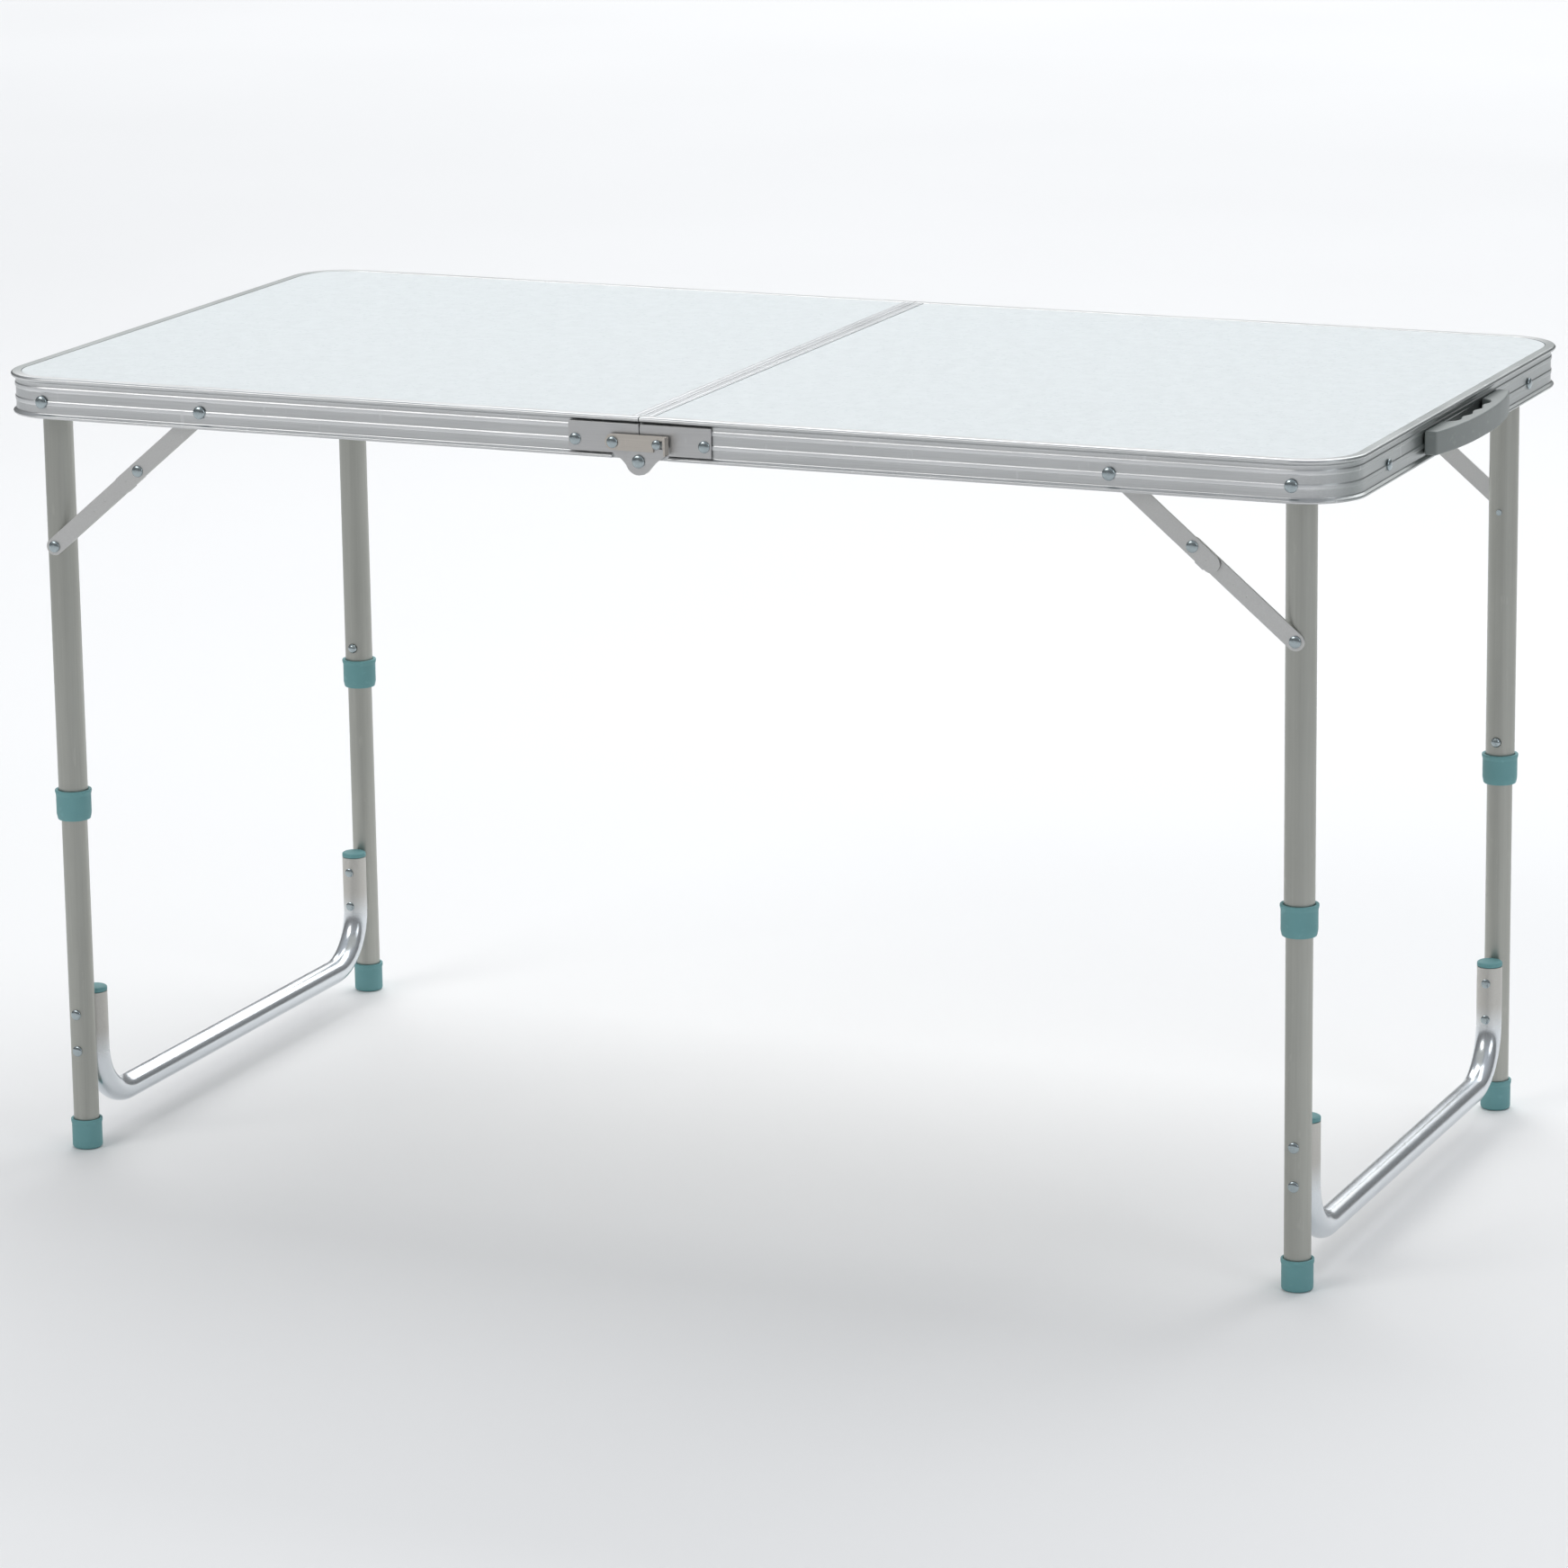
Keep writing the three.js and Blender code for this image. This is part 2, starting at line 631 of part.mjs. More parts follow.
// The V-shaped leaf spring inside the lower tube, with the stem that pushes the button out.
function buttonSpring() {
  const leaf = 0.8;
  const leafWidth = 7;
  const seat = LEG_Y - 5.2; // the leaf that carries the stem
  const backWall = LEG_Y + LOWER_RADIUS - TUBE_WALL - 2;
  const bendTop = BUTTON_HEIGHT - 34;
  const profile = [
    [seat, BUTTON_HEIGHT + 8],
    [seat, BUTTON_HEIGHT - 8],
    [LEG_Y + 4, bendTop],
    [backWall, bendTop - 2],
    [backWall, BUTTON_HEIGHT + 4],
    [backWall - leaf, BUTTON_HEIGHT + 4],
    [backWall - leaf, bendTop - 1],
    [LEG_Y + 4.4, bendTop + 1],
    [seat + leaf, BUTTON_HEIGHT - 8],
    [seat + leaf, BUTTON_HEIGHT + 8],
  ];
  const shape = outline(profile.map(([out, z]) => [-out, z]));
  const geometry = new THREE.ExtrudeGeometry(shape, { depth: leafWidth, bevelEnabled: false });
  geometry.rotateX(Math.PI / 2).rotateZ(Math.PI / 2);
  const leaves = solid(geometry.translate(LEG_X - leafWidth / 2, 0, 0));
  const stemEnd = seat + leaf / 2;
  const stem = peg(LEG_X, BUTTON_HEIGHT, BUTTON_RADIUS - 1, LEG_Y - LOWER_RADIUS, stemEnd);
  return join(leaves, stem);
}

function lowerLeg() {
  const body = tube(...CORNER, LOWER_RADIUS, LOWER_END, LOWER_TOP);
  const buttonHole = peg(LEG_X, BUTTON_HEIGHT, BUTTON_RADIUS + 0.4, LEG_Y - 20, LEG_Y);
  const rivetHoles = UBAR_RIVETS.map((z) => peg(LEG_X, z, SHANK_HOLE, LEG_Y - 20, LEG_Y + 20));
  return cut(body, buttonHole, ...rivetHoles);
}

const foot = upright(
  [
    [0, 0],
    [12, 0],
    [13, 1.5],
    [13, 22],
    [13.6, 23],
    [13.6, 26],
    [LOWER_RADIUS + 0.3, 26],
    [LOWER_RADIUS + 0.3, 4],
    [0, 4],
  ],
  ...CORNER,
);

placeAtEachLeg("leg_pivot", legPivot, STEEL);
placeAtEachLeg("leg_upper", upperLeg(), LEG_METAL);
placeAtEachLeg("collar", collar, TEAL_PLASTIC);
placeAtEachLeg("button", button, STEEL);
placeAtEachLeg("button_spring", buttonSpring(), STEEL);
placeAtEachLeg("leg_lower", lowerLeg(), LEG_METAL);
placeAtEachLeg("foot", foot, TEAL_PLASTIC);

// ---- U-bar that ties the two lower legs of one end together ----
function uBar() {
  const ring = new THREE.Shape();
  ring.absarc(0, 0, UBAR_RADIUS, 0, Math.PI * 2);
  const bore = new THREE.Path();
  bore.absarc(0, 0, UBAR_RADIUS - TUBE_WALL, 0, Math.PI * 2);
  ring.holes.push(bore);
  const bend = (y, from) =>
    Array.from({ length: 6 }, (_, step) => {
      const angle = from + (step / 5) * (Math.PI / 2);
      return new THREE.Vector3(
        LEG_X,
        y + UBAR_BEND * Math.cos(angle),
        UBAR_RUN + UBAR_BEND + UBAR_BEND * Math.sin(angle),
      );
    });
  const inset = UBAR_Y - UBAR_BEND;
  const path = [
    new THREE.Vector3(LEG_X, -UBAR_Y, UBAR_TOP),
    ...bend(-inset, Math.PI),
    ...bend(inset, Math.PI * 1.5),
    new THREE.Vector3(LEG_X, UBAR_Y, UBAR_TOP),
  ];
  const bar = new THREE.ExtrudeGeometry(ring, {
    steps: path.length - 1,
    extrudePath: new SteppedPath(path),
    curveSegments: 7,
  });
  const rivets = UBAR_RIVETS.map((z) =>
    rivet(LEG_X, z, {
      shank: 2.5,
      head: 4.6,
      tail: 4,
      near: UBAR_Y - UBAR_RADIUS - 1,
      tailEnd: UBAR_Y - UBAR_RADIUS + 0.6,
      seat: LEG_Y + LOWER_RADIUS + 0.2,
      dome: 1.8,
    }),
  );
  return join(solid(bar), ...rivets, ...rivets.map(mirrored));
}

const uBarCap = upright(
  [
    [0, UBAR_TOP - 10],
    [UBAR_RADIUS - TUBE_WALL - 0.3, UBAR_TOP - 10],
    [UBAR_RADIUS - TUBE_WALL - 0.3, UBAR_TOP + 0.3],
    [UBAR_RADIUS, UBAR_TOP + 0.3],
    [UBAR_RADIUS, UBAR_TOP + 3.6],
    [UBAR_RADIUS - 1, UBAR_TOP + 5],
    [0, UBAR_TOP + 5],
  ],
  LEG_X,
  -UBAR_Y,
);

placeAtEachEnd("u_bar", uBar(), BRIGHT_METAL);
placeAtEachLeg("u_bar_cap", uBarCap, TEAL_PLASTIC);

// ---- Folding braces ----
// A flat link with round ends, drawn from one joint to the other in X and Z.
function link(from, to, tail) {
  const along = new THREE.Vector2(to[0] - from[0], to[1] - from[1]);
  const length = along.length() + tail;
  const half = LINK_WIDTH / 2;
  const shape = new THREE.Shape();
  shape.moveTo(0, -half);
  shape.lineTo(length, -half);
  shape.absarc(length, 0, half, -Math.PI / 2, Math.PI / 2);
  shape.lineTo(0, half);
  shape.absarc(0, 0, half, Math.PI / 2, Math.PI * 1.5);
  return { shape, angle: along.angle() };
}

function flatLink(from, to, tail, near) {
  const { shape, angle } = link(from, to, tail);
  const geometry = new THREE.ExtrudeGeometry(shape, {
    depth: LINK_THICKNESS,
    bevelEnabled: false,
    curveSegments: 8,
  });
  geometry.rotateZ(angle).rotateX(Math.PI / 2);
  return solid(geometry.translate(from[0], -near, from[1]));
}

const RAIL_JOINT = [LEG_X - BRACE_SPREAD, PIVOT_Z];
const LEG_JOINT = [LEG_X, BRACE_LEG_Z];
const MIDDLE_JOINT = RAIL_JOINT.map((start, axis) => start + (LEG_JOINT[axis] - start) * BRACE_SHARE);
const farOf = (near) => near + LINK_THICKNESS;

const braceUpper = join(
  cut(
    flatLink(RAIL_JOINT, MIDDLE_JOINT, LINK_TAIL, UPPER_LINK_Y),
    peg(...RAIL_JOINT, PIVOT_HOLE, UPPER_LINK_Y - 1, farOf(UPPER_LINK_Y) + 1),
  ),
  turned(
    [[0, farOf(UPPER_LINK_Y) - 0.2], ...domed(4.6, farOf(UPPER_LINK_Y) - 0.2, 2.2)],
    ...MIDDLE_JOINT,
  ),
);

const braceLower = cut(
  flatLink(MIDDLE_JOINT, LEG_JOINT, 0, LOWER_LINK_Y),
  peg(...LEG_JOINT, 2.9, LOWER_LINK_Y - 1, farOf(LOWER_LINK_Y) + 1),
  peg(...MIDDLE_JOINT, 2.9, LOWER_LINK_Y - 1, farOf(LOWER_LINK_Y) + 1),
);

placeAtEachLeg("brace_upper", braceUpper, LEG_METAL);
placeAtEachLeg("brace_lower", braceLower, LEG_METAL);

export default table;
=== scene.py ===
"""A folding picnic table with an aluminium frame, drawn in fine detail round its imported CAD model.

Shapes are drawn in millimetres: x from the centre seam, y from the long centre line, z from the floor.
They are drawn for the right end and the back row, and mirrored to their own place.
"""

import math

import bmesh
import bpy
from mathutils import Matrix, Vector


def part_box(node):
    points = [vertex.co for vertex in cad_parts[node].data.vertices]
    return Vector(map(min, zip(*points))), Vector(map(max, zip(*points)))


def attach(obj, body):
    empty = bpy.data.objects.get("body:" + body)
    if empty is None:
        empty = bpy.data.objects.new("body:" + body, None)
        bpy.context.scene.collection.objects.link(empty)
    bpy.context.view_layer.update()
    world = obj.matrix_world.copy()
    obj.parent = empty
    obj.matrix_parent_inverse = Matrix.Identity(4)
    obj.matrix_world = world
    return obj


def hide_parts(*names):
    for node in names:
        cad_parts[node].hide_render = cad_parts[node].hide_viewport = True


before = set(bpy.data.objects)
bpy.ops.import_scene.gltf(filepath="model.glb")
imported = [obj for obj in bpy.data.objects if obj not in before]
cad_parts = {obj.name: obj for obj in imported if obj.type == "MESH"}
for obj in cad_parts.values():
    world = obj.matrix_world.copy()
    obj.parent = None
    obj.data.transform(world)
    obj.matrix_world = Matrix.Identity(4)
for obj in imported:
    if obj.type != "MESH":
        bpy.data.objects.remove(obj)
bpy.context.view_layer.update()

MM = 0.001
SIDES = {"left": -1, "right": 1}
ROWS = {"front": -1, "back": 1}
SEAM = (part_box("rail_left")[1].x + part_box("rail_right")[0].x) / 2
ROUND = 48  # segments round a tube or cap
ROUND_RIVET = 28
BEND_STEPS = 18  # segments round a quarter bend of the rails and the U-bar


def reach(node):
    """Lowest and highest corner of a CAD node, in millimetres."""
    low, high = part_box(node)
    seam = Vector((SEAM, 0, 0))
    return (low - seam) / MM, (high - seam) / MM


def middle(node, axis):
    """The middle of a CAD node along one axis, in millimetres."""
    low, high = reach(node)
    return (low[axis] + high[axis]) / 2


# ---- Places, from the frame ----
RAIL_LOW, RAIL_HIGH = reach("rail_right")
LIP_X, LIP_Y, RAIL_TOP = RAIL_HIGH
RAIL_BOTTOM = RAIL_LOW.z
HALF_SEAM = RAIL_LOW.x
LEG_X = middle("foot_back_right", 0)
LEG_Y = middle("foot_back_right", 1)
PIVOT_Z = middle("leg_pivot_back_right", 2)
HINGE_Z = middle("hinge_pin_back", 2)
PANEL_LOW, PANEL_HIGH = reach("panel_right")
UPPER_LOW, UPPER_HIGH = reach("leg_upper_back_right")
LOWER_LOW, LOWER_HIGH = reach("leg_lower_back_right")
BAR_LOW, BAR_HIGH = reach("u_bar_right")
PLUG_LOW, PLUG_HIGH = reach("u_bar_cap_back_right")
BAR_Y = middle("u_bar_cap_back_right", 1)  # the middle of the bar's upright
COLLAR_LOW, COLLAR_HIGH = reach("collar_back_right")
FOOT_HIGH = reach("foot_back_right")[1].z
BUTTON_Z = middle("button_back_right", 2)
BUTTON_LOW, BUTTON_HIGH = reach("button_back_right")
LATCH_LOW, LATCH_HIGH = reach("latch_back")
HANDLE_LOW, HANDLE_HIGH = reach("handle")
CHANNEL_HALF = reach("centre_rail_right")[1].y
UPPER_LINK_Y = reach("brace_upper_back_right")[0].y
LOWER_LINK_Y = reach("brace_lower_back_right")[0].y

# ---- Sizes ----
PLAY = 0.4
CORNER_RADIUS = 50
RAIL_DEPTH = RAIL_TOP - RAIL_BOTTOM
SHOULDER = RAIL_TOP - 1.5  # the board's edge goes under the lips up to here

# Faces of the rail, measured inwards from the lip's outer edge.
RIB_OUT = 3.4
WALL_OUT = 4
WALL_IN = 5.5
LIP_IN = 9
SHELF_IN = 13

# Heights on the rail, measured up from its bottom edge.
BEAD_TOP = 4.3
NOTCH_TOP = 6  # the wall is cut away up to here at the hinge pins
SHELF_LOW = 27.2
SHELF_TOP = 28.2
LIP_LOW = 33.8
RIB_BANDS = ((11.3, 14.7), (22.8, 26.2))  # the painted highlight bands on the two ribs
BAND_EDGE = 0.3

# Distances from the seam along the rail.
PIN_NOTCH = 7
FLARE_END = 25  # the bottom bead starts here, clear of the hinge ears
GROOVE_MIDDLE = 6  # of the groove in the seam channel, from the channel's own edge

# Tubes.
UPPER_RADIUS = 12.5
LOWER_RADIUS = 11
BAR_RADIUS = 11
TUBE_WALL = 1.2
BAR_BEND = 50
CAP_EDGE = 0.8  # how far the edges of the plastic caps are softened

# Brace links.
LINK_WIDTH = 15
LINK_THICKNESS = 2
LINK_EDGE = 0.3
LINK_TAIL = 20  # the upper link goes on this far past the middle joint
UPPER_LINK_SHARE = 86 / 196  # of the way from the rail joint to the leg joint
RAIL_JOINT = Vector((reach("brace_upper_back_right")[0].x + LINK_WIDTH / 2, PIVOT_Z))
LEG_JOINT = Vector((LEG_X, reach("brace_lower_back_right")[0].z + LINK_WIDTH / 2))
MIDDLE_JOINT = RAIL_JOINT.lerp(LEG_JOINT, UPPER_LINK_SHARE)

# Fasteners: radii, unless another measure is named.
SHANK = 2.5
PIVOT_SHANK = 3
PIVOT_HEAD = (5.5, 2.6)  # radius and height of a large domed head
PIVOT_SPACER = 5.5
LEG_SPACER = 6
LEG_WASHER = 4.8
ROOT_DEPTH = 1.6  # a rivet reaches this far behind the rail's wall
END_SCREW_Y = 190
BAR_RIVETS = (120.5, 88)  # heights above the floor

# Hinge plates and latch.
PLATE_THICKNESS = 1.8
PLATE_GAP = 0.3  # between the two plates, and between a plate and a head
PLATE_TOP = RAIL_BOTTOM + 29
PLATE_BOTTOM = RAIL_BOTTOM + 4.6
PLATE_REACH = 63
PLATE_RIVET_X = 57
EAR_RADIUS = 11.5
HEAD_SEAT = LIP_Y - RIB_OUT + 0.3  # heads and plates rest just clear of the ribs
OUTER_PLATE_Y = HEAD_SEAT + PLATE_THICKNESS + PLATE_GAP
LATCH_THICKNESS = 1.6
LATCH_FAR = LATCH_LOW.y + LATCH_THICKNESS
LATCH_PIVOT_X = 22
CATCH_X = 17
HOOK_RADIUS = 3.2
TAB_FAR = CATCH_X + 10  # the outer face of the latch's finger tab

# Handle.
HANDLE_FOOT = 45  # length of each foot along the rail
HANDLE_END_REACH = 7  # how far its ends stand out from the lip
HANDLE_GRIP = 10
FINGER_DEPTH = 1.6


# ---- Materials ----
BUMP_DEPTH = 0.0004
GRAIN_SCALE = 700
SCRATCH_SHARE = 0.5  # how strongly the scratches show on metal
GRAIN_ALONG = {"x": (0.02, 1, 1), "y": (1, 0.02, 1), "z": (1, 1, 0.02), "none": (1, 1, 1)}
# how far the painted highlight lightens the ribs of the long rails
RIB_HIGHLIGHT = 0.75


class Finish:
    """A node material that is worked out from places on the piece itself."""

    def __init__(self, name, metallic=0.0, coat=0.0):
        self.material = bpy.data.materials.new(name)
        self.material.use_nodes = True
        self.tree = self.material.node_tree
        self.shader = self.tree.nodes["Principled BSDF"]
        self.shader.inputs["Metallic"].default_value = metallic
        self.shader.inputs["Coat Weight"].default_value = coat
        self.place = self.tree.nodes.new("ShaderNodeTexCoord").outputs["Object"]

    def link(self, source, target):
        self.tree.links.new(source, target)

    def noise(self, scale, stretch=(1, 1, 1), detail=3.0):
        """A cloudy pattern; a small stretch factor draws it out along that axis."""
        mapping = self.tree.nodes.new("ShaderNodeMapping")
        mapping.inputs["Scale"].default_value = stretch
        texture = self.tree.nodes.new("ShaderNodeTexNoise")
        texture.inputs["Scale"].default_value = scale
        texture.inputs["Detail"].default_value = detail
        self.link(self.place, mapping.inputs["Vector"])
        self.link(mapping.outputs["Vector"], texture.inputs["Vector"])
        return texture.outputs["Fac"]

    def ramp(self, factor, *stops):
        """A colour ramp; a stop is a position with a colour, or with one grey value."""
        node = self.tree.nodes.new("ShaderNodeValToRGB")
        points = node.color_ramp.elements
        while len(points) < len(stops):
            points.new(0.5)
        for point, (position, colour) in zip(points, stops):
            channels = colour if len(colour) == 3 else colour * 3
            point.position = position
            point.color = (*channels, 1)
        self.link(factor, node.inputs["Fac"])
        return node.outputs["Color"]

    def math(self, operation, first, second):
        """A sum on two values, each a number or a socket."""
        node = self.tree.nodes.new("ShaderNodeMath")
        node.operation = operation
        for socket, value in zip(node.inputs, (first, second)):
            if isinstance(value, (int, float)):
                socket.default_value = value
            else:
                self.link(value, socket)
        return node.outputs["Value"]

    def mix(self, factor, first, second, blend="MIX"):
        """A mix of two colours, each a tuple or a socket."""
        node = self.tree.nodes.new("ShaderNodeMix")
        node.data_type = "RGBA"
        node.blend_type = blend
        sockets = [node.inputs[index] for index in (0, 6, 7)]  # the factor and the two colours
        for socket, value in zip(sockets, (factor, first, second)):
            if isinstance(value, (int, float)):
                socket.default_value = value
            elif isinstance(value, tuple):
                socket.default_value = (*value, 1)
            else:
                self.link(value, socket)
        return node.outputs[2]

    def axis(self, name):
        """One coordinate of the place on the piece, in metres."""
        node = self.tree.nodes.new("ShaderNodeSeparateXYZ")
        self.link(self.place, node.inputs["Vector"])
        return node.outputs[name]

    def paint(self, colour, roughness, height, bump):
        """Joins the finish to the shader, with a height that makes the surface uneven."""
        node = self.tree.nodes.new("ShaderNodeBump")
        node.inputs["Strength"].default_value = bump
        node.inputs["Distance"].default_value = BUMP_DEPTH
        self.link(height, node.inputs["Height"])
        self.link(colour, self.shader.inputs["Base Color"])
        self.link(roughness, self.shader.inputs["Roughness"])
        self.link(node.outputs["Normal"], self.shader.inputs["Normal"])
        return self.material


def end_share(finish):
    """0 along the long rails, 1 along the end rails, and in between round the corners."""
    along = finish.math("ABSOLUTE", finish.math("SUBTRACT", finish.axis("X"), SEAM), 0)
    across = finish.math("ABSOLUTE", finish.axis("Y"), 0)
    ahead = finish.math("SUBTRACT", along, across)
    start = (LIP_X - LIP_Y - CORNER_RADIUS / 2) * MM
    share = finish.math("DIVIDE", finish.math("SUBTRACT", ahead, start), CORNER_RADIUS * MM)
    return finish.math("MINIMUM", finish.math("MAXIMUM", share, 0), 1)


def rib_bands(finish):
    """How strongly a painted highlight lightens the rail's two ribs, by height."""
    height = finish.math("SUBTRACT", finish.axis("Z"), RAIL_BOTTOM * MM)
    share = finish.math("DIVIDE", height, RAIL_DEPTH * MM)
    stops = [(0, (0,))]
    for low, high in RIB_BANDS:
        stops += [
            ((low - BAND_EDGE) / RAIL_DEPTH, (0,)),
            (low / RAIL_DEPTH, (RIB_HIGHLIGHT,)),
            (high / RAIL_DEPTH, (RIB_HIGHLIGHT,)),
            ((high + BAND_EDGE) / RAIL_DEPTH, (0,)),
        ]
    return finish.ramp(share, *stops)


def metal(name, dark, light, rough, grain, bump=0.12):
    """Metal with a drawn grain, cloudy patches of handling and a few fine scratches.

    The grain runs along one axis, or, on the frame, along the rails and round their corners.
    """
    finish = Finish(name, metallic=1.0)
    if grain == "frame":
        share = end_share(finish)
        long_way = finish.noise(GRAIN_SCALE, GRAIN_ALONG["x"], 4)
        short_way = finish.noise(GRAIN_SCALE, GRAIN_ALONG["y"], 4)
        lines = finish.mix(share, long_way, short_way)
    else:
        lines = finish.noise(GRAIN_SCALE, GRAIN_ALONG[grain], 4)
    clouds = finish.noise(9, detail=5)
    flecks = finish.noise(160, (1, 1, 0.25), 6)
    marks = finish.ramp(flecks, (0.66, (0,)), (0.74, (SCRATCH_SHARE,)))
    ground = finish.mix(lines, dark, light)
    if grain == "frame":
        # Painted highlight: the ribs of the long rails are lightened in bands, where they catch the
        # light; the end rails are left out.
        rib_highlight = finish.math("MULTIPLY", rib_bands(finish), finish.math("SUBTRACT", 1, share))
        ground = finish.mix(rib_highlight, ground, (0.88, 0.89, 0.9))
        # Painted shade: the end rails are darkened, round the corners from the long rails.
        end_rail_shade = finish.mix(share, (1.0, 1.0, 1.0), (0.6, 0.63, 0.62))
        ground = finish.mix(1, ground, end_rail_shade, "MULTIPLY")  # painted shade: the end rails are coloured darker
    shaded = finish.mix(finish.ramp(clouds, (0.35, (0,)), (0.7, (0.22,))), ground, dark)
    colour = finish.mix(marks, shaded, tuple(min(1, c * 1.12) for c in light))
    smooth, coarse = rough
    patches = finish.mix(clouds, (smooth,) * 3, (coarse,) * 3)
    roughness = finish.mix(marks, patches, (coarse + 0.12,) * 3)
    return finish.paint(colour, roughness, lines, bump)


def plastic(name, dark, light, rough):
    """Moulded plastic: a fine grain, a little cloudiness and paler rubbed spots."""
    finish = Finish(name)
    grain = finish.noise(1100, detail=2)
    clouds = finish.noise(24, detail=4)
    rubs = finish.ramp(finish.noise(130, detail=6), (0.6, (0,)), (0.72, (0.4,)))
    ground = finish.mix(clouds, dark, light)
    colour = finish.mix(rubs, ground, tuple(min(1, c * 1.2) for c in light))
    smooth, coarse = rough
    roughness = finish.mix(rubs, (coarse,) * 3, (smooth,) * 3)
    return finish.paint(colour, roughness, grain, 0.18)


def laminate(name):
    """Melamine with a faint mottled print and a fine pearl surface."""
    finish = Finish(name, coat=0.15)
    finish.shader.inputs["Coat Roughness"].default_value = 0.25
    blots = finish.noise(75, detail=7)
    specks = finish.noise(260, detail=4)
    haze = finish.noise(5, detail=3)
    print_tone = finish.ramp(blots, (0.36, (0.645, 0.69, 0.7)), (0.64, (0.69, 0.735, 0.745)))
    dots = finish.ramp(specks, (0.32, (0.45,)), (0.43, (0,)))
    speckled = finish.mix(dots, print_tone, (0.52, 0.58, 0.59))
    veil = finish.ramp(haze, (0.3, (0,)), (0.75, (0.2,)))
    colour = finish.mix(veil, speckled, (0.68, 0.725, 0.735))
    roughness = finish.ramp(blots, (0.3, (0.4,)), (0.7, (0.5,)))
    return finish.paint(colour, roughness, specks, 0.06)


def hardboard(name):
    """The back of the board under the top: a pale paper face with fibres."""
    finish = Finish(name)
    fibres = finish.noise(420, (0.15, 1, 1), 6)
    clouds = finish.noise(11, detail=5)
    ground = finish.ramp(fibres, (0.35, (0.60, 0.60, 0.57)), (0.65, (0.70, 0.70, 0.67)))
    colour = finish.mix(finish.ramp(clouds, (0.3, (0,)), (0.8, (0.4,))), ground, (0.56, 0.55, 0.5))
    roughness = finish.ramp(fibres, (0.3, (0.7,)), (0.7, (0.85,)))
    return finish.paint(colour, roughness, fibres, 0.25)


def bar_metal(name):
    """The U-bar: its bends and run are glossier than its uprights, and coloured brighter as a painted
    highlight.
    """
    finish = Finish(name, metallic=1.0)
    lines = finish.noise(GRAIN_SCALE, GRAIN_ALONG["none"], 4)
    clouds = finish.noise(16, detail=5)
    height = finish.axis("Z")
    upright_share = finish.ramp(height, (0.075, (0,)), (0.1, (1,)))
    # Painted highlight: the bends and the run near the floor are coloured brighter than the uprights.
    bright = finish.mix(lines, (0.66, 0.7, 0.73), (0.8, 0.83, 0.86))
    matt = finish.mix(lines, (0.52, 0.51, 0.48), (0.6, 0.59, 0.56))
    colour = finish.mix(upright_share, bright, matt)
    polished = finish.mix(clouds, (0.16,) * 3, (0.3,) * 3)
    satin = finish.mix(clouds, (0.36,) * 3, (0.46,) * 3)
    return finish.paint(colour, finish.mix(upright_share, polished, satin), lines, 0.05)


RAIL = metal("rail_aluminium", (0.56, 0.57, 0.57), (0.7, 0.71, 0.715), (0.27, 0.4), "frame")
SEAM_STRIP = metal("seam_aluminium", (0.56, 0.58, 0.59), (0.7, 0.72, 0.73), (0.25, 0.38), "y")
TUBE = metal("leg_aluminium", (0.39, 0.395, 0.365), (0.47, 0.475, 0.44), (0.36, 0.48), "z")
LINK = metal("link_aluminium", (0.58, 0.58, 0.57), (0.68, 0.68, 0.67), (0.35, 0.5), "none")
ZINC = metal("zinc_plate", (0.33, 0.39, 0.41), (0.5, 0.56, 0.58), (0.16, 0.28), "none", 0.06)
PLATE = metal("hinge_steel", (0.55, 0.55, 0.55), (0.66, 0.66, 0.66), (0.34, 0.5), "x")
LATCH = metal("latch_steel", (0.55, 0.51, 0.46), (0.68, 0.64, 0.59), (0.3, 0.46), "x")
BAR = bar_metal("u_bar_aluminium")
TOP = laminate("laminate_top")
BACK = hardboard("board_back")
TEAL = plastic("teal_plastic", (0.12, 0.31, 0.325), (0.175, 0.385, 0.4), (0.42, 0.56))
GREY = plastic("grey_plastic", (0.2, 0.22, 0.215), (0.27, 0.295, 0.285), (0.35, 0.5))


# ---- Drawing ----
def soften(points, radius, steps=3, closed=True):
    """Rounds the corners of an outline."""
    rounded = []
    for index, corner in enumerate(points):
        if not closed and index in (0, len(points) - 1):
            rounded.append(tuple(corner))
            continue
        here = Vector(corner)
        back = Vector(points[index - 1]) - here
        ahead = Vector(points[(index + 1) % len(points)]) - here
        cut = min(radius, back.length * 0.45, ahead.length * 0.45)
        start = here + back.normalized() * cut
        end = here + ahead.normalized() * cut
        for step in range(steps + 1):
            t = step / steps
            rounded.append(tuple(start * (1 - t) ** 2 + here * 2 * t * (1 - t) + end * t**2))
    return rounded


def arc(centre, radius, start, end, steps):
    """Points round a centre, from one angle to another, in degrees."""
    angles = [math.radians(start + (end - start) * step / steps) for step in range(steps + 1)]
    return [(centre[0] + radius * math.cos(a), centre[1] + radius * math.sin(a)) for a in angles]


def dome(radius, seat, height):
    """The profile of a domed rivet head with a small dimple, from its seat outwards."""
    rim = height * 0.2
    curve = [
        (radius * math.cos(a), seat + rim + (height - rim) * math.sin(a))
        for a in (math.radians(step * 12.5) for step in range(7))
    ]
    return [(radius - 0.25, seat), (radius, seat + 0.25), *curve, (0, seat + height * 0.92)]


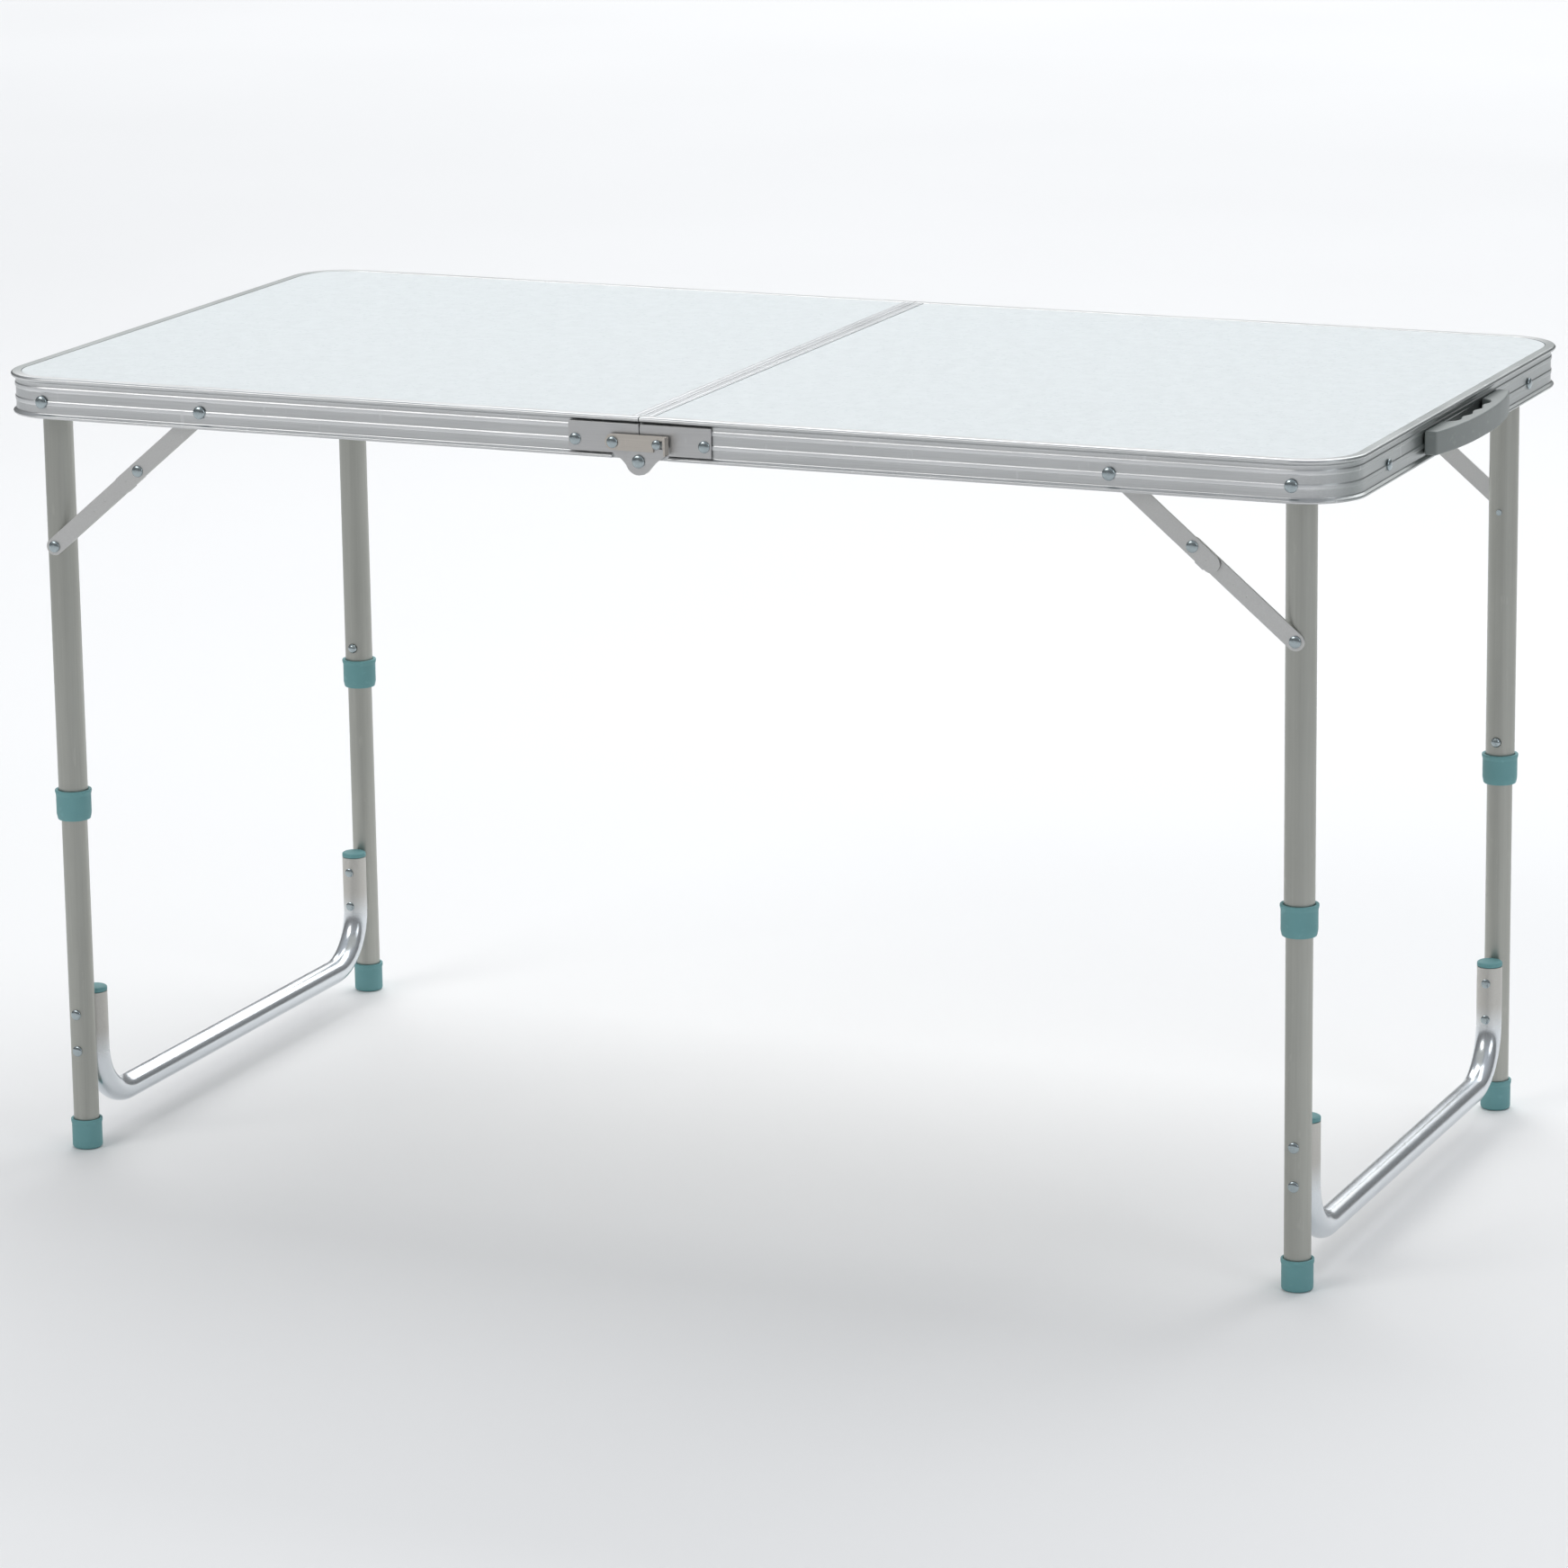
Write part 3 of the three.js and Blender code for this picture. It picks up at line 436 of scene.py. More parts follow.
class Draft:
    """A mesh that is being drawn for one end and one row of the table."""

    def __init__(self, side=1, row=1):
        self.mesh = bmesh.new()
        self.side = side
        self.row = row

    def corner(self, point):
        """Adds a corner in metres, mirrored to the draft's own end and row."""
        x, y, z = point
        return self.mesh.verts.new((SEAM + self.side * x * MM, self.row * y * MM, z * MM))

    def skin(self, rings, capped=False):
        """Joins rings of points with faces; a ring of one point closes an end."""
        made = [[self.corner(point) for point in ring] for ring in rings]
        for near, far in zip(made, made[1:]):
            count = max(len(near), len(far))
            for step in range(count):
                after = (step + 1) % count
                corners = [
                    near[step % len(near)],
                    near[after % len(near)],
                    far[after % len(far)],
                    far[step % len(far)],
                ]
                self.mesh.faces.new(list(dict.fromkeys(corners)))
        if capped:
            self.mesh.faces.new(made[0])
            self.mesh.faces.new(made[-1])
        return self

    def turn(self, profile, centre, axis="z", segments=ROUND):
        """A lathe shape: (radius, distance) corners about an axis through the centre."""
        rings = []
        for radius, along in profile:
            ring = []
            for a, b in arc(centre, radius, 0, 360, segments)[:-1] if radius else [centre]:
                ring.append({"x": (along, a, b), "y": (a, along, b), "z": (a, b, along)}[axis])
            rings.append(ring)
        return self.skin(rings)

    def tube(self, radius, low, high, centre):
        """An upright tube with softened ends."""
        inner = radius - TUBE_WALL
        wall = soften([(inner, low), (radius, low), (radius, high), (inner, high)], 0.4)
        return self.turn([*wall, wall[0]], centre)

    def extrude(self, outline, near, far, axis="y"):
        """A flat shape with thickness; its outline holds (x, z), (x, y) or (y, z) corners."""
        rings = []
        for depth in (near, far):
            places = {
                "y": [(a, depth, b) for a, b in outline],
                "z": [(a, b, depth) for a, b in outline],
                "x": [(depth, a, b) for a, b in outline],
            }
            rings.append(places[axis])
        return self.skin(rings, capped=True)

    def rivet(self, x, z, radius, seat, height, root, shank=SHANK):
        """A domed head on a shank that runs along y from its root."""
        profile = [(0, root), (shank, root), (shank, seat), *dome(radius, seat, height)]
        return self.turn(profile, (x, z), "y", ROUND_RIVET)

    def object(self, name):
        """Cleans the mesh and puts it in the scene."""
        bmesh.ops.remove_doubles(self.mesh, verts=self.mesh.verts, dist=1e-6)
        bmesh.ops.dissolve_degenerate(self.mesh, dist=1e-7, edges=self.mesh.edges)
        bmesh.ops.recalc_face_normals(self.mesh, faces=self.mesh.faces)
        data = bpy.data.meshes.new(name)
        self.mesh.to_mesh(data)
        self.mesh.free()
        made = bpy.data.objects.new(name, data)
        bpy.context.scene.collection.objects.link(made)
        return made

    def piece(self, name, body, finish, slot, nodes=(), bevel=0, tools=()):
        """Turns the draft into a piece that rides on a body and stands for its CAD nodes."""
        made = self.object(name)
        for operation, tool in tools:
            combine(made, operation, tool.object("tool"))
        made.data.materials.append(finish)
        for face in made.data.polygons:
            face.use_smooth = True
        if bevel:
            edge = made.modifiers.new("edge", "BEVEL")
            edge.width = bevel * MM
            edge.segments = 3
            edge.limit_method = "ANGLE"
            edge.angle_limit = math.radians(40)
        else:
            made.data.set_sharp_from_angle(angle=math.radians(42))
        normals = made.modifiers.new("normals", "WEIGHTED_NORMAL")
        normals.keep_sharp = True
        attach(made, body)
        if nodes:
            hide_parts(*nodes)
        return made


def combine(made, operation, tool):
    """Joins a tool's shape to a mesh or cuts it away, and removes the tool."""
    modifier = made.modifiers.new("combine", "BOOLEAN")
    modifier.operation = operation
    modifier.object = tool
    modifier.solver = "EXACT"
    graph = bpy.context.evaluated_depsgraph_get()
    data = bpy.data.meshes.new_from_object(made.evaluated_get(graph))
    made.modifiers.clear()
    made.data = data
    bpy.data.objects.remove(tool)


# ---- The frame of one half ----
# The rail's section: distance inwards from the lip's edge, and height above the bottom edge.
RAIL_SECTION = [
    (LIP_IN, 35), (1.4, 35), (0, 33.4), (0.8, 31.4), (WALL_OUT, 29.8),
    (WALL_OUT, 26.5), (RIB_OUT, 26), (RIB_OUT, 23), (WALL_OUT, 22.5),
    (WALL_OUT, 15), (RIB_OUT, 14.5), (RIB_OUT, 11.5), (WALL_OUT, 11),
    (WALL_OUT, 4), (1.2, 2), (1.8, 0), (WALL_IN, 0),
    (WALL_IN, SHELF_LOW), (SHELF_IN, SHELF_LOW), (SHELF_IN, SHELF_TOP), (WALL_IN, SHELF_TOP),
    (WALL_IN, LIP_LOW), (LIP_IN, LIP_LOW),
]


def rail_ring(x, y, outwards, section):
    """The section placed at a point of the lip's edge, facing outwards."""
    return [
        (x - outwards[0] * inwards, y - outwards[1] * inwards, RAIL_BOTTOM + up)
        for inwards, up in section
    ]


def rail_rings():
    """The rail's section from the seam along one long side, round the end and back."""
    step = 0.01  # so that a cut starts at once, not with a slope
    full = soften(RAIL_SECTION, 0.7, 2)
    no_bead = [(max(inwards, WALL_OUT) if up < BEAD_TOP else inwards, up) for inwards, up in full]
    notched = [(inwards, max(up, NOTCH_TOP)) for inwards, up in no_bead]
    starts = [
        (HALF_SEAM, notched), (PIN_NOTCH, notched), (PIN_NOTCH + step, no_bead),
        (FLARE_END, no_bead), (FLARE_END + step, full),
    ]
    near = [rail_ring(x, -LIP_Y, (0, -1), section) for x, section in starts]
    far = [rail_ring(x, LIP_Y, (0, 1), section) for x, section in reversed(starts)]
    bends = []
    for y, start in ((-LIP_Y + CORNER_RADIUS, -90), (LIP_Y - CORNER_RADIUS, 0)):
        for direction in arc((0, 0), 1, start, start + 90, BEND_STEPS):
            x = LIP_X - CORNER_RADIUS + CORNER_RADIUS * direction[0]
            bends.append(rail_ring(x, y + CORNER_RADIUS * direction[1], direction, full))
    return [*near, *bends, *far]


def end_screw(draft, y):
    """A screw in the end rail, near its corner."""
    root = LIP_X - WALL_IN - 4
    seat = LIP_X - RIB_OUT
    shank = 2.4
    profile = [(0, root), (shank, root), (shank, seat), *dome(4.8, seat, 2.4)]
    return draft.turn(profile, (y, PIVOT_Z), "x", ROUND_RIVET)


def brace_rivet(draft):
    """The rivet that the brace hangs on, with a spacer inside the rail."""
    near = UPPER_LINK_Y - 0.25
    spacer = UPPER_LINK_Y + LINK_THICKNESS + PLAY
    wall = LIP_Y - WALL_IN
    head_radius, head_height = PIVOT_HEAD
    profile = [
        (0, near), (PIVOT_SHANK, near), (PIVOT_SHANK, spacer), (PIVOT_SPACER, spacer),
        (PIVOT_SPACER, wall), (PIVOT_SHANK, wall), (PIVOT_SHANK, HEAD_SEAT),
        *dome(head_radius, HEAD_SEAT, head_height),
    ]
    return draft.turn(profile, tuple(RAIL_JOINT), "y", ROUND_RIVET)


def board_outline(near, inset):
    """A rectangle with rounded outer corners, inside the seam and the lip."""
    radius = CORNER_RADIUS - inset
    far = LIP_X - CORNER_RADIUS
    side = LIP_Y - CORNER_RADIUS
    return [
        (near, inset - LIP_Y),
        *arc((far, -side), radius, -90, 0, 16),
        *arc((far, side), radius, 0, 90, 16),
        (near, LIP_Y - inset),
    ]


def board_rings():
    """The board's edge goes under the lips, and its middle stands up between them."""
    edge = board_outline(PANEL_LOW.x, LIP_Y - PANEL_HIGH.y)
    raised = board_outline(HALF_SEAM + LIP_IN + PLAY, LIP_IN + PLAY)
    levels = ((edge, PANEL_LOW.z), (edge, SHOULDER), (raised, SHOULDER), (raised, PANEL_HIGH.z))
    return [[(x, y, z) for x, y in outline] for outline, z in levels]


def centre_section():
    """The channel along the seam, with a fine groove in its top."""
    wall, foot = 1.5, 6
    corners = [
        (LIP_IN, 35), (GROOVE_MIDDLE + 0.4, 35), (GROOVE_MIDDLE, 34.5), (GROOVE_MIDDLE - 0.4, 35),
        (0.3, 35), (0, 34.7), (0, 0), (foot, 0), (foot, wall), (wall, wall),
        (wall, SHELF_LOW), (LIP_IN, SHELF_LOW), (LIP_IN, SHELF_TOP), (wall, SHELF_TOP),
        (wall, LIP_LOW), (LIP_IN, LIP_LOW),
    ]
    return [(HALF_SEAM + inwards, RAIL_BOTTOM + up) for inwards, up in corners]


def rail_rivets(side, row):
    """The fasteners that show on one half of one long rail, and on its end."""
    root = LIP_Y - WALL_IN - ROOT_DEPTH
    studs = Draft(SIDES[side], ROWS[row])
    brace_rivet(studs)
    end_screw(studs, END_SCREW_Y)
    studs.rivet(PLATE_RIVET_X, PIVOT_Z, 5, HEAD_SEAT + PLATE_THICKNESS, 2.2, root)
    if side == "left":
        studs.rivet(LATCH_PIVOT_X, PIVOT_Z, 4.8, LATCH_FAR + PLAY, 2, root)
    else:
        studs.rivet(CATCH_X, PIVOT_Z, 4, LATCH_FAR + PLAY, 1.8, root)
    studs.piece(f"{row}_{side}_rail_rivets", f"table_{side}", ZINC, "zinc_steel")


for side, side_sign in SIDES.items():
    body = f"table_{side}"
    Draft(side_sign).skin(rail_rings(), capped=True).piece(
        f"{side}_rail_bent", body, RAIL, "rail_aluminium", [f"rail_{side}"]
    )
    Draft(side_sign).extrude(centre_section(), -CHANNEL_HALF, CHANNEL_HALF).piece(
        f"{side}_seam_channel", body, SEAM_STRIP, "rail_aluminium", [f"centre_rail_{side}"], 0.2
    )
    board = Draft(side_sign).skin(board_rings(), capped=True).piece(
        f"{side}_top_board", body, TOP, "laminate_panel", [f"panel_{side}"], 0.3
    )
    board.data.materials.append(BACK)
    for face in board.data.polygons:
        face.material_index = 1 if face.normal.z < -0.5 else 0
    for row in ROWS:
        rail_rivets(side, row)


# ---- Centre hinge and latch ----
def ear_flank(top):
    """The ear's edge: down its slanting side from the plate, then round below and beyond the pin."""
    base = HINGE_Z - EAR_RADIUS
    flank = [(24, RAIL_BOTTOM + top), (19, base + 14), (15, base + 11), (10, base + 5), (5, base + 1)]
    return [*soften(flank, 4, 4, closed=False), *arc((0, HINGE_Z), EAR_RADIUS, 270, 90, 20)]


def left_plate():
    """The left plate is flat, and its ear goes straight down."""
    return [
        (0.5, PLATE_TOP), (PLATE_REACH, PLATE_TOP), (PLATE_REACH, PLATE_BOTTOM), *ear_flank(4.6)
    ]


def right_plate(draft):
    """Draws the flat part, with room for the left ear; returns the ear that steps out over it."""
    room = arc((0, HINGE_Z), EAR_RADIUS + PLAY, 27, 87, 12)
    flat = [(0.7, PLATE_TOP), (PLATE_REACH, PLATE_TOP), (PLATE_REACH, PLATE_BOTTOM), *room]
    draft.extrude(flat, HEAD_SEAT, HEAD_SEAT + PLATE_THICKNESS)
    ear = Draft(draft.side, draft.row)
    ear_outline = [(24, RAIL_BOTTOM + 10), *ear_flank(4.8)]
    ear.extrude(ear_outline, OUTER_PLATE_Y, OUTER_PLATE_Y + PLATE_THICKNESS)
    step = Draft(draft.side, draft.row)
    step_outline = [(16, 4.9), (23.9, 4.9), (23.9, 9.9), (16, 9.9)]
    placed = [(x, RAIL_BOTTOM + up) for x, up in step_outline]
    step.extrude(placed, HEAD_SEAT + 0.1, OUTER_PLATE_Y + 0.5)
    return [("UNION", step), ("UNION", ear)]


def latch_outline():
    """The latch's bar: round at its pivot, with a hook cut up from below for the stud."""
    z = PIVOT_Z
    lip = CATCH_X + 5
    low, high = z - 6.5, z + 7
    return [
        (CATCH_X - HOOK_RADIUS, low),
        *arc((CATCH_X, z), HOOK_RADIUS, 180, 90, 8),
        (lip, z + HOOK_RADIUS), (lip, z - 3.5), (TAB_FAR, z - 3.5), (TAB_FAR, high),
        *arc((-LATCH_PIVOT_X, (low + high) / 2), (high - low) / 2, 90, 270, 20),
    ]


def latch_tab(row_sign):
    """The finger tab, bent outwards at the latch's free end."""
    left, right = TAB_FAR - LATCH_THICKNESS, TAB_FAR
    tab = [(left, LATCH_LOW.y), (right, LATCH_LOW.y), (right, LATCH_HIGH.y), (left, LATCH_HIGH.y)]
    return Draft(1, row_sign).extrude(tab, LATCH_LOW.z, LATCH_HIGH.z, "z")


def hinge_pin_profile():
    """A pin with a flat head behind the plates and a domed one in front."""
    back_radius = 4.6
    near = LIP_Y - WALL_IN + 0.2
    back_face = HEAD_SEAT - PLATE_GAP
    seat = OUTER_PLATE_Y + PLATE_THICKNESS + PLATE_GAP
    return [
        (0, near), (back_radius, near), (back_radius, back_face), (PIVOT_SHANK, back_face),
        (PIVOT_SHANK, seat), *dome(5.5, seat, 2.4),
    ]


for row, row_sign in ROWS.items():
    Draft(-1, row_sign).extrude(left_plate(), HEAD_SEAT, HEAD_SEAT + PLATE_THICKNESS).piece(
        f"{row}_left_ear_plate", "table_left", PLATE, "zinc_steel", [f"hinge_plate_{row}_left"], 0.3
    )
    plate = Draft(1, row_sign)
    tools = right_plate(plate)
    plate.piece(
        f"{row}_right_ear_plate", "table_right", PLATE, "zinc_steel",
        [f"hinge_plate_{row}_right"], 0.3, tools,
    )
    Draft(1, row_sign).turn(hinge_pin_profile(), (0, HINGE_Z), "y", ROUND).piece(
        f"{row}_pin_domed", "table_left", ZINC, "zinc_steel", [f"hinge_pin_{row}"]
    )
    Draft(1, row_sign).extrude(latch_outline(), LATCH_LOW.y, LATCH_FAR).piece(
        f"{row}_latch_hook", f"latch_{row}", LATCH, "zinc_steel", [f"latch_{row}"], 0.35,
        [("UNION", latch_tab(row_sign))],
    )


# ---- Handle ----
def handle_outline():
    """A shallow bow with a long foot at each end and finger waves on its inner edge."""
    half = HANDLE_HIGH.y
    seat = HANDLE_LOW.x
    gap = half - HANDLE_FOOT
    bow = HANDLE_HIGH.x - LIP_X - HANDLE_END_REACH

    def outer(y):
        return HANDLE_HIGH.x - bow * (abs(y) / half) ** 2.4

    def inner(y):
        return outer(y) - HANDLE_GRIP - FINGER_DEPTH * math.cos(y / gap * 4 * math.pi)

    def edge(shape, start, end, steps):
        """Points along one of the two curves."""
        places = [start + (end - start) * step / steps for step in range(steps + 1)]
        return [(shape(y), y) for y in places]

    return [
        (seat, -half), *edge(outer, 1 - half, half - 1, 60), (seat, half),
        (seat, gap), *edge(inner, gap - 6, 6 - gap, 72), (seat, -gap),
    ]


Draft().extrude(handle_outline(), HANDLE_LOW.z, HANDLE_HIGH.z, "z").piece(
    "carry_handle", "table_right", GREY, "grey_plastic", ["handle"], 1.4
)


# ---- Legs ----
CORNER = (LEG_X, LEG_Y)
LEG_FACE = LEG_Y + UPPER_RADIUS
BUTTON_RADIUS = BUTTON_HIGH.z - BUTTON_Z


def leg_pivot_profile():
    """A rivet through leg and rail, with a washer on the inner side and a spacer between them."""
    near = LEG_Y - UPPER_RADIUS - 2.2
    washer = LEG_Y - UPPER_RADIUS - PLAY
    spacer = LEG_FACE + PLAY
    wall = LIP_Y - WALL_IN - 1.2
    head_radius, head_height = PIVOT_HEAD
    return [
        (0, near), (LEG_WASHER, near), (LEG_WASHER, washer), (PIVOT_SHANK, washer),
        (PIVOT_SHANK, spacer), (LEG_SPACER, spacer), (LEG_SPACER, wall), (PIVOT_SHANK, wall),
        (PIVOT_SHANK, HEAD_SEAT), *dome(head_radius, HEAD_SEAT, head_height),
    ]


def collar_profile():
    """A sleeve that holds the upper tube, with a bead round its top and a floor below."""
    low, high = COLLAR_LOW.z, COLLAR_HIGH.z
    bore, floor_bore = UPPER_RADIUS + 0.3, LOWER_RADIUS + 0.4
    floor_top = low + 3.3
    closed = soften([
        (floor_bore, low), (14, low), (15, low + 5), (15, high - 4.5), (15.7, high - 2.2),
        (15.7, high), (bore, high), (bore, floor_top), (floor_bore, floor_top),
    ], CAP_EDGE)
    return [*closed, closed[0]]


def foot_profile():
    """A cup under the lower tube, with a bead round its rim."""
    bore, floor_top = LOWER_RADIUS + 0.3, 4
    return soften([
        (0, 0), (12, 0), (13, 1.5), (13, FOOT_HIGH - 4.6), (13.6, FOOT_HIGH - 3.2),
        (13.6, FOOT_HIGH), (bore, FOOT_HIGH), (bore, floor_top), (0, floor_top),
    ], CAP_EDGE, closed=False)


def button_profile():
    """A round button with a domed tip."""
    tip, base = BUTTON_LOW.y, BUTTON_HIGH.y
    return [
        (0, tip), (BUTTON_RADIUS * 0.45, tip + 0.15), (BUTTON_RADIUS * 0.8, tip + 0.8),
        (BUTTON_RADIUS, tip + 2), (BUTTON_RADIUS, base), (0, base),
    ]


def plug_profile():
    """A plug in the end of the U-bar, with a flat head of the bar's own width."""
    low, high = PLUG_LOW.z, PLUG_HIGH.z
    stem, head = BAR_RADIUS - TUBE_WALL - 0.3, high - 4.7
    return soften([
        (0, low), (stem, low), (stem, head), (BAR_RADIUS, head), (BAR_RADIUS, high - 1.4),
        (BAR_RADIUS * 0.85, high - 0.4), (0, high),
    ], CAP_EDGE, closed=False)


def leg_pieces(side, row):
    """Everything that is on one leg."""

    def at_leg():
        return Draft(SIDES[side], ROWS[row])

    def button_hole():
        """Cuts a hole for the snap button through the near wall of a tube."""
        width = BUTTON_RADIUS + 0.3
        cutter = [(0, LEG_Y - 20), (width, LEG_Y - 20), (width, LEG_Y), (0, LEG_Y)]
        return [("DIFFERENCE", at_leg().turn(cutter, (LEG_X, BUTTON_Z), "y", ROUND_RIVET))]

    place = f"{row}_{side}"
    legs = f"legs_{side}"
    lower = f"lower_frame_{side}"
    at_leg().turn(leg_pivot_profile(), (LEG_X, PIVOT_Z), "y", ROUND_RIVET).piece(
        f"{place}_pivot_rivet", f"table_{side}", ZINC, "zinc_steel", [f"leg_pivot_{place}"]
    )
    at_leg().tube(UPPER_RADIUS, UPPER_LOW.z, UPPER_HIGH.z, CORNER).piece(
        f"{place}_upper_tube", legs, TUBE, "leg_aluminium", [f"leg_upper_{place}"],
        tools=button_hole(),
    )
    at_leg().rivet(
        *LEG_JOINT, 5, LOWER_LINK_Y + LINK_THICKNESS + 0.25, 2, LEG_Y - UPPER_RADIUS - 1
    ).piece(f"{place}_brace_rivet", legs, ZINC, "zinc_steel")
    at_leg().turn(collar_profile(), CORNER).piece(
        f"{place}_collar_ring", legs, TEAL, "teal_plastic", [f"collar_{place}"]
    )
    at_leg().turn(button_profile(), (LEG_X, BUTTON_Z), "y", ROUND_RIVET).piece(
        f"{place}_snap_button", f"button_{place}", ZINC, "zinc_steel", [f"button_{place}"]
    )
    at_leg().tube(LOWER_RADIUS, LOWER_LOW.z, LOWER_HIGH.z, CORNER).piece(
        f"{place}_lower_tube", lower, TUBE, "leg_aluminium", [f"leg_lower_{place}"],
        tools=button_hole(),
    )
    at_leg().turn(foot_profile(), CORNER).piece(
        f"{place}_foot_cap", lower, TEAL, "teal_plastic", [f"foot_{place}"]
    )
    at_leg().turn(plug_profile(), (LEG_X, BAR_Y)).piece(
        f"{place}_bar_plug", lower, TEAL, "teal_plastic", [f"u_bar_cap_{place}"]
    )
    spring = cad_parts[f"button_spring_{place}"]
    spring.data.materials.clear()
    spring.data.materials.append(ZINC)


def bar_path():
    """(y, z) points down the middle of the U-bar, each with its direction in degrees."""
    bend_z = BAR_LOW.z + BAR_RADIUS + BAR_BEND
    path = [((-BAR_Y, BAR_HIGH.z), 180)]
    for y, start in ((BAR_BEND - BAR_Y, 180), (BAR_Y - BAR_BEND, 270)):
        bend = arc((y, bend_z), BAR_BEND, start, start + 90, BEND_STEPS)
        path += [(point, start + 90 * step / BEND_STEPS) for step, point in enumerate(bend)]
    return [*path, ((BAR_Y, BAR_HIGH.z), 360)]


def bar_rings():
    """The U-bar's round section, down one upright, along the floor and up the other."""
    rings = []
    for (along, up), direction in bar_path():
        angle = math.radians(direction)
        section = arc((0, 0), BAR_RADIUS, 0, 360, ROUND)[:-1]
        rings.append([
            (LEG_X + across, along + out * math.cos(angle), up + out * math.sin(angle))
            for across, out in section
        ])
    return rings


def bar_rivet_profile():
    """A rivet through the U-bar and the leg, with a flat head on the bar's side."""
    face = BAR_Y - BAR_RADIUS
    seat = LEG_Y + LOWER_RADIUS + 0.2
    return [
        (0, face - 1), (3.1, face - 1), (4, face - 0.4), (4, face + 0.6), (SHANK, face + 0.6),
        (SHANK, seat), *dome(4.6, seat, 1.8),
    ]


for side, side_sign in SIDES.items():
    for row in ROWS:
        leg_pieces(side, row)
    Draft(side_sign).skin(bar_rings(), capped=True).piece(
        f"{side}_bent_bar", f"lower_frame_{side}", BAR, "bright_aluminium", [f"u_bar_{side}"]
    )
    for row, row_sign in ROWS.items():
        studs = Draft(side_sign, row_sign)
        for z in BAR_RIVETS:
            studs.turn(bar_rivet_profile(), (LEG_X, z), "y", ROUND_RIVET)
        studs.piece(f"{row}_{side}_bar_rivets", f"lower_frame_{side}", ZINC, "zinc_steel")


# ---- Folding braces ----
def link_outline(start, end, tail):
    """A strip with round ends, from one joint to the other and on by a tail."""
    along = end - start
    turn = math.degrees(math.atan2(along.y, along.x))
    far = start + along.normalized() * (along.length + tail)
    half = LINK_WIDTH / 2
    return [*arc(start, half, turn + 90, turn + 270, 14), *arc(far, half, turn - 90, turn + 90, 14)]


def dimples(draft, distances, face):
    """Small round dents in a link's outer face, at distances from the middle joint."""
    along = (LEG_JOINT - MIDDLE_JOINT).normalized()
    profile = [(0, face - 0.5), (0.8, face - 0.4), (1.3, face), (1.3, face + 0.6), (0, face + 0.6)]
    tools = []
    for distance in distances:
        spot = MIDDLE_JOINT + along * distance
        dent = Draft(draft.side, draft.row).turn(profile, tuple(spot), "y", 16)
        tools.append(("DIFFERENCE", dent))
    return tools


def stop_lug(draft):
    """The tab on the upper link's lower edge that the lower link closes against."""
    along = (LEG_JOINT - RAIL_JOINT).normalized()
    down = Vector((along.y, -along.x))
    places = ((9, 6.6), (19, 6.6), (18.4, 8.4), (9.6, 8.4))
    corners = [tuple(MIDDLE_JOINT + along * distance + down * drop) for distance, drop in places]
    tab = Draft(draft.side, draft.row)
    return tab.extrude(corners, UPPER_LINK_Y + 0.1, UPPER_LINK_Y + LINK_THICKNESS - 0.1)


def brace(side, row):
    """The two links of one brace, riveted to each other in the middle."""
    place = f"{row}_{side}"
    upper_face = UPPER_LINK_Y + LINK_THICKNESS
    upper = Draft(SIDES[side], ROWS[row])
    upper.extrude(link_outline(RAIL_JOINT, MIDDLE_JOINT, LINK_TAIL), UPPER_LINK_Y, upper_face)
    upper.piece(
        f"{place}_upper_link", f"brace_upper_{place}", LINK, "leg_aluminium",
        [f"brace_upper_{place}"], LINK_EDGE,
        [("UNION", stop_lug(upper)), *dimples(upper, (15,), upper_face)],
    )
    middle_rivet = Draft(SIDES[side], ROWS[row])
    middle_rivet.rivet(*MIDDLE_JOINT, 5, upper_face, 2.2, LOWER_LINK_Y - 0.2, SHANK + 0.1)
    middle_rivet.piece(f"{place}_middle_rivet", f"brace_upper_{place}", ZINC, "zinc_steel")
    lower_face = LOWER_LINK_Y + LINK_THICKNESS
    lower = Draft(SIDES[side], ROWS[row])
    lower.extrude(link_outline(MIDDLE_JOINT, LEG_JOINT, 0), LOWER_LINK_Y, lower_face)
    lower.piece(
        f"{place}_lower_link", f"brace_lower_{place}", LINK, "leg_aluminium",
        [f"brace_lower_{place}"], LINK_EDGE, dimples(lower, (44, 58), lower_face),
    )


for side in SIDES:
    for row in ROWS:
        brace(side, row)


# ---- Floor, light and camera ----
CAMERA_PLACE = (SEAM + 2.1004, -4.8787, 1.6093)
CAMERA_YAW, CAMERA_PITCH, CAMERA_ROLL = -0.4076, 0.2404, -0.0138
CAMERA_LENS = 145.9
FLOOR_SIZE = 60
FLOOR_DROP = 0.0003  # the floor lies this far under the feet
SKY = ((0.0, (0.26, 0.26, 0.26)), (0.3, (0.5, 0.51, 0.52)), (0.85, (0.9, 0.94, 1.0)))
SKY_STRENGTH = 0.55


def floor():
    """A plain pale floor."""
    bpy.ops.mesh.primitive_plane_add(size=FLOOR_SIZE, location=(0, 0, -FLOOR_DROP))
    plane = bpy.context.object
    plane.name = "floor"
    finish = Finish("floor_pale")
    clouds = finish.noise(0.8, detail=2)
    colour = finish.ramp(clouds, (0.3, (0.86,)), (0.7, (0.88,)))
    roughness = finish.ramp(clouds, (0.3, (0.7,)), (0.7, (0.8,)))
    plane.data.materials.append(finish.paint(colour, roughness, clouds, 0.02))


